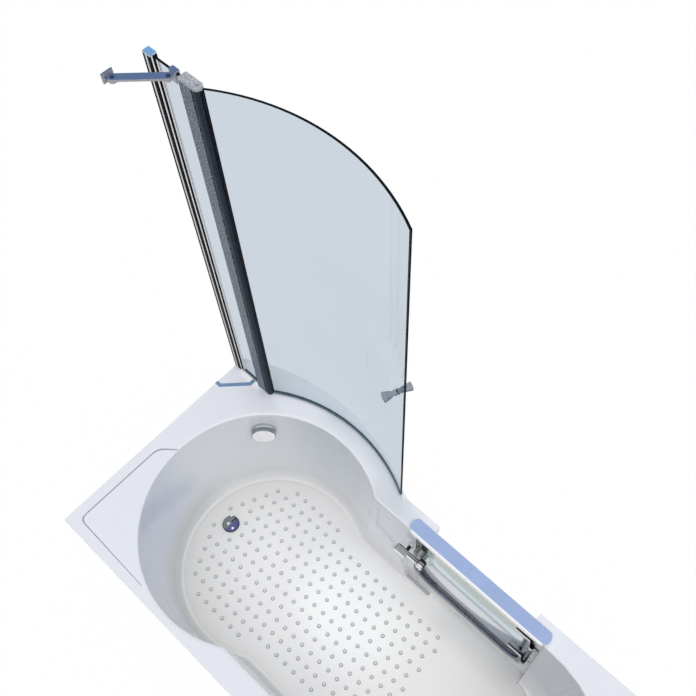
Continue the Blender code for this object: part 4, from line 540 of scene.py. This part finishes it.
def latch_metal():
    """The latch's box, with painted reflections: a bright painted end with a dark rim, and a grey-green top
    and inner side with thin painted lines, dark along its foot.
    """
    pale, white = (0.62, 0.64, 0.64), (0.98, 0.98, 0.985)
    lines = ((0.8435, 0.846, BLACK), (0.853, 0.857, pale), (0.866, 0.869, BLACK))
    made = Shader("latch_metal", LATCH_GREY, 0.3, 0.2)
    along, across, up = made.along(), made.across(), made.axis("Z")
    dark_foot = made.fall(up, LATCH_FOOT + 0.007, LATCH_FOOT + 0.008)
    above_foot = made.span(up, LATCH_FOOT + 0.008, LATCH_FOOT + 0.009)
    far_rim = made.span(across, 0.6842, 0.6848)
    long_face = made.paint(made.stripes(along, LATCH_GREY, lines, 0.0006), (dark_foot, BLACK))
    end = made.paint(BLACK, (above_foot, white), (far_rim, BLACK))
    ends = made.facing("-X")
    made.colour(made.mix(ends, long_face, end))
    made.feed("Metallic", made.span(ends, 0.0, 1.0, 0.2, 0.0, False))
    made.brushed()
    return made.material


# The painted highlights on the waste's dome: how far from its middle, along and across, and how wide
DOME_HIGHLIGHTS = ((0.017, -0.007, 0.0045), (-0.006, -0.006, 0.0055), (-0.019, 0.021, 0.004))


def plug_dome():
    """The waste's dome, with painted reflections: a dark rim, grey towards the shower end and violet towards
    the foot, a black streak, and painted highlights."""
    grey, violet, rim_tint = (0.23, 0.24, 0.24), (0.10, 0.10, 0.28), (0.05, 0.05, 0.07)
    made = Shader("plug_dome", (0.22, 0.23, 0.23), 0.12, 0.35)
    along, across = made.along(), made.across()
    low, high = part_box("waste_plug")
    middle = (SHELL_HIGH.x - (low.x + high.x) / 2, SHELL_HIGH.y - (low.y + high.y) / 2)
    radius = (high.x - low.x) / 2
    footwards = made.maths("SUBTRACT", along, middle[0])
    door_side = made.span(across, middle[1] + 0.004, middle[1] + 0.006)
    streak = made.both(made.band(footwards, -0.0035, 0.001), door_side)
    rim = made.span(made.away(along, across, middle, (radius, radius)), 0.86, 0.94)
    foot_half = made.span(footwards, 0.001, 0.004)
    tint = made.paint(grey, (foot_half, violet), (streak, BLACK), (rim, rim_tint))
    for off_along, off_across, size in DOME_HIGHLIGHTS:
        place = (middle[0] + off_along, middle[1] + off_across)
        off_spot = made.away(along, across, place, (size, size))
        tint = made.mix(made.fall(off_spot, 0.6, 1.1), tint, LIT)
    made.colour(tint)
    made.roughness(made.patches(60.0, values=(0.1, 0.18)))
    return made.material


def knob_face():
    """The overflow's knob: its face carries a painted reflection of the bright room, and its rim is painted
    darker.
    """
    made = Shader("knob_face", LIT, 0.08, 1.0)
    shade = made.patches(9.0, 1.0)
    rim = made.mix(shade, (0.30, 0.32, 0.35), (0.42, 0.45, 0.48))
    face = made.span(made.maths("SUBTRACT", made.normal("Y"), made.normal("X")), 0.95, 1.25)
    made.colour(made.mix(face, rim, LIT))
    made.roughness(made.span(shade, 0.0, 1.0, 0.06, 0.14))
    return made.material


def zinc():
    """Galvanised steel, with its flakes."""
    made = Shader("zinc", (0.55, 0.56, 0.58), 0.38, 0.9)
    spangle = add_node(made.tree, "ShaderNodeTexVoronoi")
    spangle.inputs["Scale"].default_value = 90.0
    made.link(made.place, spangle.inputs["Vector"])
    flake = made.span(spangle.outputs["Distance"], 0.1, 0.7)
    made.colour(made.mix(flake, (0.5, 0.51, 0.54), (0.66, 0.67, 0.68)))
    made.roughness(made.span(flake, 0.0, 1.0, 0.3, 0.48))
    return made.material


def level_edges(made):
    return made.span(made.maths("ABSOLUTE", made.normal("Z")), 0.55, 0.7)


def screen_edges(made):
    """The level edges and the free upright one."""
    free_edge = made.span(made.along(), SCREEN_END - 0.0022, SCREEN_END - 0.0016)
    return made.maths("MAXIMUM", level_edges(made), free_edge)


def glass(name, edge_of, bands=()):
    """Toughened glass: clear through its faces, and painted dark on its edges, where edge_of gives 1, as
    painted shade. bands are strips along the bath that aren't clear, such as a gasket behind the glass. The
    low IOR keeps the deck that shows through the glass in place and bright."""
    made = Shader(name, GLASS_TINT, 0.0, IOR=1.04, Transmission_Weight=1.0, Specular_IOR_Level=0.3)
    edges = solid = edge_of(made)
    colour = made.mix(made.patches(2.2, cut=(0.35, 0.7)), GLASS_TINT, dimmed(GLASS_TINT, 0.98))
    along = made.along()
    for start, end, shade in bands:
        strip = made.band(along, start, end)
        colour = made.mix(strip, colour, shade)
        solid = made.maths("MAXIMUM", solid, strip)
    at_foot = made.fall(made.axis("Z"), RIM + 0.03, RIM + 0.13)
    made.colour(made.mix(edges, colour, made.mix(at_foot, GLASS_EDGE, GLASS_EDGE_AT_FOOT)))
    made.let_light_through()
    made.feed("Transmission Weight", made.maths("SUBTRACT", 1.0, solid))
    made.roughness(made.maths("MULTIPLY", solid, 0.4))
    return made.material


def door_pane():
    """The door's glass, with painted reflections: it darkens towards its foot in painted streaks, with a pale
    painted bow across its middle and green above it.
    """
    darkest, grey, streaks = (0.25, 0.28, 0.36), (0.42, 0.47, 0.53), (0.32, 0.36, 0.42)
    lit, blue, green = (0.96, 0.99, 1.0), (0.60, 0.69, 0.76), (0.46, 0.52, 0.50)
    made = Shader("door_glass", (0.45, 0.52, 0.49), 0.02, IOR=1.12, Transmission_Weight=1.0)
    along, up = made.along(), made.axis("Z")
    streak = made.noise(5.0, 3.0, (1.0, 1.0, 26.0))

    def above(middle, height, bend):
        """Height over a line that bends up either side of its middle."""
        off = made.maths("SUBTRACT", along, middle)
        line = made.maths("MULTIPLY_ADD", made.maths("MULTIPLY", off, off), bend, height)
        return made.maths("SUBTRACT", up, line)

    upper, lower = above(1.06, 0.418, 0.8), above(1.01, 0.268, 2.2)
    foot = made.mix(made.span(lower, -0.12, -0.045), darkest, grey)
    foot = made.mix(made.both(made.span(streak, 0.4, 0.6), 0.8), foot, streaks)
    bow = made.mix(made.span(up, 0.35, 0.36), lit, blue)
    pane = made.mix(made.span(lower, -0.01, 0.006), foot, bow)
    made.colour(made.mix(made.span(upper, -0.004, 0.004), pane, green))
    made.let_light_through()
    made.bump(streak, 0.02, 0.0002)
    return made.material


def plastic(name, colour, rough, **settings):
    """Moulded plastic or rubber, with a fine texture."""
    made = Shader(name, colour, rough, **settings)
    made.colour(made.mix(made.patches(18.0, 3.0), colour, dimmed(colour, 0.9)))
    made.uneven(40.0, rough)
    made.bump(made.noise(500.0, 3.0), 0.12, 0.0004)
    return made.material


def pressed_board():
    """Chipboard, with its chips."""
    made = Shader("pressed_board", (0.5, 0.38, 0.24), 0.8)
    chips = made.noise(120.0, 6.0, (1.0, 1.0, 4.0), 0.7)
    made.colour(made.mix(made.span(chips, 0.3, 0.7), (0.36, 0.26, 0.15), (0.62, 0.49, 0.32)))
    made.bump(chips, 0.3, 0.001)
    return made.material


def dress(node, material):
    obj = NODES[node]
    if not obj.data.materials:
        obj.data.materials.append(material)
    for i in range(len(obj.data.materials)):
        obj.data.materials[i] = material


# New pieces

SHARP_FROM = radians(40)

CLAMP_LENGTH = 0.0205
CLAMP_GAP = 0.0004  # Between the clamp and the glass
CLAMP_ROUNDING = 0.0009
LUG_RADIUS = 0.0095
LUG_THICKNESS = 0.005
LUG_BELOW_TOP = 0.0001
LUG_OVERLAP = 0.004  # How far the lug reaches under the saddle
LUG_SIDES = (0.006, 0.002)  # How far it stays inside the saddle's ends
LUG_LEAN = radians(-20)
LUG_STEPS = 14

# The floor's domes stand in cells of one pitch, and every other row is half a cell aside
PITCH = 0.0395
GRIP_RADIUS = 0.0071
GRIP_HEIGHT = 0.0014
GRIP_STEPS = 14
# Each ring's share of the radius, and its height
GRIP_RINGS = ((1.0, -0.0002), (0.93, 0.0004), (0.72, 0.00095), (0.4, GRIP_HEIGHT * 0.93))
GRIP_ORIGIN = (11.45, 11.75)
GRIP_ROWS = range(-8, 5)
GRIP_COLUMNS = range(-12, 20)
CIRCLE_ROW = -2
CIRCLE_REACH = (6.75, 6.7)  # Before and past the circle's middle
BLOCK_ROWS = (-7, 3)
BLOCK_LENGTH = 15.2
DRAIN_CELL = (-5.4, -1.87)
DRAIN_CLEARANCE = 1.25


def new_piece(name, bm, material, body):
    mesh = bpy.data.meshes.new(name)
    bm.to_mesh(mesh)
    bm.free()
    mesh.shade_smooth()
    mesh.set_sharp_from_angle(angle=SHARP_FROM)
    mesh.materials.append(material)
    made = bpy.data.objects.new(name, mesh)
    bpy.context.scene.collection.objects.link(made)
    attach(made, body)
    return made


def prism(bm, outline, ends, place):
    """A closed outline of (a, b) points, drawn out between two ends. place(a, b, end) gives a corner."""
    rings = [[bm.verts.new(place(*point, end)) for point in outline] for end in ends]
    for i in range(len(outline)):
        j = (i + 1) % len(outline)
        bm.faces.new((rings[0][i], rings[0][j], rings[1][j], rings[1][i]))
    for ring in rings:
        bm.faces.new(ring)


def glass_clamp(material):
    """The brace's clamp: a short saddle with rounded edges over the fixed glass, and the round lug beside it
    that the bar's end lies on."""
    low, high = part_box("brace_clamp")
    glass_low, glass_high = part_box("fixed_glass")
    bm = bmesh.new()

    outer = (low.y, glass_low.y + glass_high.y - low.y)
    inner = (glass_low.y - CLAMP_GAP, glass_high.y + CLAMP_GAP)
    seat = glass_high.z + CLAMP_GAP
    saddle = [
        (outer[0], low.z), (outer[0], high.z), (outer[1], high.z), (outer[1], low.z),
        (inner[1], low.z), (inner[1], seat), (inner[0], seat), (inner[0], low.z),
    ]
    prism(bm, saddle, (high.x - CLAMP_LENGTH, high.x), lambda y, z, x: (x, y, z))

    middle = (low.x + LUG_RADIUS, high.y - LUG_RADIUS)
    root = outer[1] - LUG_OVERLAP
    lug = [(high.x - LUG_SIDES[0], root), (high.x - CLAMP_LENGTH + LUG_SIDES[1], root)]
    for i in range(LUG_STEPS + 1):
        turn = pi * (1.0 - i / LUG_STEPS) + LUG_LEAN
        lug.append((middle[0] + LUG_RADIUS * cos(turn), middle[1] + LUG_RADIUS * sin(turn)))
    prism(bm, lug, (high.z - LUG_THICKNESS, high.z - LUG_BELOW_TOP), lambda x, y, z: (x, y, z))

    bmesh.ops.recalc_face_normals(bm, faces=bm.faces)
    bmesh.ops.bevel(
        bm,
        geom=list(bm.edges),
        offset=CLAMP_ROUNDING,
        segments=2,
        profile=0.5,
        affect="EDGES",
        clamp_overlap=True,
    )
    made = new_piece("glass_clamp", bm, material, "bath")
    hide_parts("brace_clamp")


def grip_places():
    """The middles of the domes: within a circle at the shower end, and in a block along the bath."""
    places = []
    for row in GRIP_ROWS:
        for column in GRIP_COLUMNS:
            x, y = column + row / 2, float(row)
            in_circle = hypot(x, y - CIRCLE_ROW) < (CIRCLE_REACH[0] if x < 0 else CIRCLE_REACH[1])
            in_block = BLOCK_ROWS[0] <= row <= BLOCK_ROWS[1] and 0 <= x <= BLOCK_LENGTH
            near_drain = hypot(x - DRAIN_CELL[0], y - DRAIN_CELL[1]) < DRAIN_CLEARANCE
            if (in_circle or in_block) and not near_drain:
                places.append(((x + GRIP_ORIGIN[0]) * PITCH, (y + GRIP_ORIGIN[1]) * PITCH))
    return places


def floor_grips(material):
    """The anti-slip domes, each of stacked rings and a crown."""
    bm = bmesh.new()
    for along, across in grip_places():
        rings = []
        for share, height in GRIP_RINGS:
            ring = []
            for i in range(GRIP_STEPS):
                turn = 2 * pi * i / GRIP_STEPS
                radius = GRIP_RADIUS * share
                place = spot(along + radius * cos(turn), across + radius * sin(turn), FLOOR + height)
                ring.append(bm.verts.new(place))
            rings.append(ring)
        for low, high in zip(rings, rings[1:]):
            for i in range(GRIP_STEPS):
                j = (i + 1) % GRIP_STEPS
                bm.faces.new((low[i], low[j], high[j], high[i]))
        crown = bm.verts.new(spot(along, across, FLOOR + GRIP_HEIGHT))
        for i in range(GRIP_STEPS):
            bm.faces.new((rings[-1][i], rings[-1][(i + 1) % GRIP_STEPS], crown))
    new_piece("floor_grips", bm, material, "bath")


# Studio: a white floor under a soft white ceiling

FLOOR_HALF = 30.0
FLOOR_WHITE = 0.985  # The share of white over the floor's own shade. The rest keeps the object's shadow
CEILING_COLOUR = (0.98, 0.99, 1.0, 1.0)
CEILING_FALL = 4.0
CEILING_LIGHT = 1.9
HORIZON_LIGHT = 0.2
SIDE_LIGHT = 1.2
SIDE_LIGHT_FROM = (-0.97, 0.24, 0.0)


def white_to_rays(tree, lit, share):
    """Mixes plain white over the lit shader for camera, mirror and glass rays, by the given share."""
    glow = add_node(tree, "ShaderNodeBackground" if lit.node.type == "BACKGROUND" else "ShaderNodeEmission")
    glow.inputs["Color"].default_value = (1.0, 1.0, 1.0, 1.0)
    rays = add_node(tree, "ShaderNodeLightPath").outputs
    seen = add_maths(tree, "MAXIMUM", rays["Is Camera Ray"], rays["Is Transmission Ray"])
    seen = add_maths(tree, "MAXIMUM", seen, rays["Is Glossy Ray"])
    mix = add_node(tree, "ShaderNodeMixShader")
    tree.links.new(add_maths(tree, "MULTIPLY", seen, share), mix.inputs["Fac"])
    tree.links.new(lit, mix.inputs[1])
    tree.links.new(glow.outputs[0], mix.inputs[2])
    return mix.outputs[0]


def stage_floor():
    mesh = bpy.data.meshes.new("studio_floor")
    corners = [(x * FLOOR_HALF, y * FLOOR_HALF, 0) for x, y in ((-1, -1), (1, -1), (1, 1), (-1, 1))]
    mesh.from_pydata(corners, [], [(0, 1, 2, 3)])
    made = bpy.data.objects.new("studio_floor", mesh)
    bpy.context.scene.collection.objects.link(made)
    material = bpy.data.materials.new("studio_floor")
    material.use_nodes = True
    tree = material.node_tree
    bsdf = tree.nodes["Principled BSDF"]
    bsdf.inputs["Base Color"].default_value = (0.9, 0.9, 0.9, 1.0)
    bsdf.inputs["Roughness"].default_value = 0.9
    bsdf.inputs["Specular IOR Level"].default_value = 0.1
    surface = white_to_rays(tree, bsdf.outputs[0], FLOOR_WHITE)
    tree.links.new(surface, tree.nodes["Material Output"].inputs["Surface"])
    mesh.materials.append(material)


def studio():
    """The ceiling's light falls mostly from straight above, fades to the horizon, and is stronger from over
    the foot end and the side opposite the door."""
    scene = bpy.context.scene
    scene.view_settings.view_transform = "Standard"
    world = bpy.data.worlds.new("studio")
    world.use_nodes = True
    scene.world = world
    tree = world.node_tree
    direction = add_node(tree, "ShaderNodeTexCoord").outputs["Generated"]
    split = add_node(tree, "ShaderNodeSeparateXYZ")
    tree.links.new(direction, split.inputs[0])
    up = add_maths(tree, "MAXIMUM", split.outputs["Z"], 0.0)
    overhead = add_maths(tree, "POWER", up, CEILING_FALL)
    level = add_maths(tree, "MULTIPLY_ADD", overhead, CEILING_LIGHT, HORIZON_LIGHT)
    lean = add_node(tree, "ShaderNodeVectorMath", operation="DOT_PRODUCT")
    lean.inputs[1].default_value = SIDE_LIGHT_FROM
    tree.links.new(direction, lean.inputs[0])
    slant = add_maths(tree, "MULTIPLY", add_maths(tree, "MAXIMUM", lean.outputs["Value"], 0.0), up)
    back = tree.nodes["Background"]
    back.inputs["Color"].default_value = CEILING_COLOUR
    tree.links.new(add_maths(tree, "MULTIPLY_ADD", slant, SIDE_LIGHT, level), back.inputs["Strength"])
    tree.links.new(white_to_rays(tree, back.outputs[0], 1.0), tree.nodes["World Output"].inputs["Surface"])


add_camera()
studio()
stage_floor()

ACRYLIC = acrylic()
CHROME = chrome()
# The blue tops of the bar, brace, wall profile's cap and drip rail are painted reflections of blue
# surroundings; their sides are painted reflections too, and the bar has a painted highlight BAR_LIT_EDGE wide
# along its inner side
BAR_LIT_EDGE = 0.0062
BAR = faced_chrome("bar_chrome", (0.345, 0.455, 0.745), LIT, rough=0.25, metallic=0.05, mirror=0.95,
                   lit_to=BAR_INNER_SIDE + BAR_LIT_EDGE)
BRACE = faced_chrome("brace_chrome", (0.062, 0.13, 0.275), (0.42, 0.40, 0.45), rough=0.35, metallic=0.1)
PROFILE_CAP = faced_chrome("cap_chrome", (0.155, 0.375, 0.66), (0.6, 0.66, 0.82), rough=0.35, metallic=0.1)
DRIP_RAIL = faced_chrome("rail_chrome", (0.155, 0.285, 0.49), (0.40, 0.52, 0.68), rough=0.4, metallic=0.1)
# The hinge's black tops and pale sides, and the leaf's black band and black level faces, are painted
# reflections
HINGE = faced_chrome("hinge_chrome", BLACK, (0.80, 0.81, 0.83), rough=0.2, metallic=0.6)
LEAF_BANDS = ((1.26, 1.2895, BLACK),)
HINGE_LEAF = banded_metal("leaf_metal", (0.55, 0.57, 0.61), 0.3, 0.3, LEAF_BANDS, level=BLACK)
HINGE_PIN = chrome("pin_chrome", (0.02, 0.02, 0.024), rough=0.2)
LEVER = lever_metal()
LATCH_BOX = latch_metal()
# The door rail's grey, black and pale strips are painted reflections
RAIL_BANDS = (
    (0.8, 0.8385, (0.36, 0.37, 0.38)),
    (0.8385, 0.8435, BLACK),
    (0.8435, 0.8475, (0.5, 0.52, 0.52)),
)
DOOR_RAIL = banded_metal("door_rail", (0.24, 0.26, 0.33), 0.25, 0.6, RAIL_BANDS)
# The knob's tops and dark sides are painted reflections
KNOB = faced_chrome("knob_chrome", (0.30, 0.34, 0.40), (0.10, 0.115, 0.14), rough=0.2, metallic=0.4,
                    low=-0.2, high=0.6)
KNOB_FACE = knob_face()
PLUG = plug_dome()
# The flange's pale top and grey sides are painted reflections
FLANGE = faced_chrome("flange_chrome", (0.80, 0.82, 0.80), (0.5, 0.52, 0.5), rough=0.3, metallic=0.2)
SCREW = faced_chrome("screw_metal", (0.02, 0.03, 0.07), (0.02, 0.03, 0.06), rough=0.3, metallic=0.3)
PROFILE = profile_metal()
# A painted highlight along the post's edge
POST_BANDS = ((0.1, 0.1136, (0.5, 0.52, 0.57)),)
POST = anodised("post_metal", (0.10, 0.12, 0.16), (0.37, 0.405, 0.465), scale=210.0, bands=POST_BANDS)
PIVOT_BANDS = ((0.1712, 0.2, BLACK),)
PIVOT = anodised("pivot_metal", (0.018, 0.028, 0.046), (0.04, 0.055, 0.08), scale=300.0, bands=PIVOT_BANDS,
                 cap=(0.42, 0.44, 0.5))
CAP = anodised("cap_metal", (0.52, 0.54, 0.60), (0.24, 0.25, 0.29), scale=260.0)
GASKET_BANDS = ((0.025, 0.0345, BLACK), (0.0355, 0.042, (0.9, 0.92, 0.93)))
FIXED_GLASS = glass("fixed_glass", level_edges, GASKET_BANDS)
SCREEN_GLASS = glass("screen_glass", screen_edges)
DOOR_GLASS = door_pane()
SEAL = plastic("clear_seal", (0.10, 0.17, 0.23), rough=0.25, Transmission_Weight=0.2)
RUBBER = plastic("black_rubber", (0.012, 0.012, 0.014), rough=0.55)
WHITE = plastic("white_plastic", (0.78, 0.79, 0.80), rough=0.3)
GREY = plastic("grey_plastic", (0.10, 0.105, 0.115), rough=0.5)
# The strip at the wall's foot by the door: its grey stands partly for the shade there
STRIP = plastic("strip_plastic", (0.45, 0.45, 0.46), rough=0.4)
ZINC = zinc()
BOARD = pressed_board()

FINISH = {
    "bath_shell": ACRYLIC,
    "front_panel": ACRYLIC,
    "corner_drip_rail": DRIP_RAIL,
    "door_top_bar": BAR,
    "hinge_arm_upper": HINGE,
    "hinge_arm_lower": HINGE,
    "hinge_bracket": HINGE_LEAF,
    "hinge_pin": HINGE_PIN,
    "latch_body": LATCH_BOX,
    "door_frame": DOOR_RAIL,
    "overflow_knob": KNOB_FACE,
    "waste_plug": PLUG,
    "waste_flange": FLANGE,
    "latch_lever": LEVER,
    "knob_outer": KNOB,
    "knob_inner": KNOB,
    "brace_wall_bracket": BRACE,
    "brace_bar": BRACE,
    "brace_clamp": BRACE,
    "brace_screw_wall": SCREW,
    "brace_screw_clamp": SCREW,
    "wall_profile": PROFILE,
    "wall_profile_cap": PROFILE_CAP,
    "hinge_post": POST,
    "pivot_profile": PIVOT,
    "post_cap_top": CAP,
    "post_cap_bottom": CAP,
    "fixed_glass": FIXED_GLASS,
    "curved_glass": SCREEN_GLASS,
    "door_glass": DOOR_GLASS,
    "fixed_seal": SEAL,
    "screen_seal": SEAL,
    "door_gasket": RUBBER,
    "latch_keeper": WHITE,
    "overflow_elbow": WHITE,
    "waste_body": WHITE,
    "trap": WHITE,
    "overflow_pipe": GREY,
    "recess_strip": STRIP,
    "base_board": BOARD,
}


def finish_of(node):
    """The finish of a node: the table's, or by its name for the legs and cradle, or else chrome."""
    if node in FINISH:
        return FINISH[node]
    if node.startswith("leg_pad"):
        return GREY
    return ZINC if node.startswith(("leg_", "cradle_")) else CHROME


for node in NODES:
    dress(node, finish_of(node))

floor_grips(grip_plastic())
glass_clamp(BRACE)
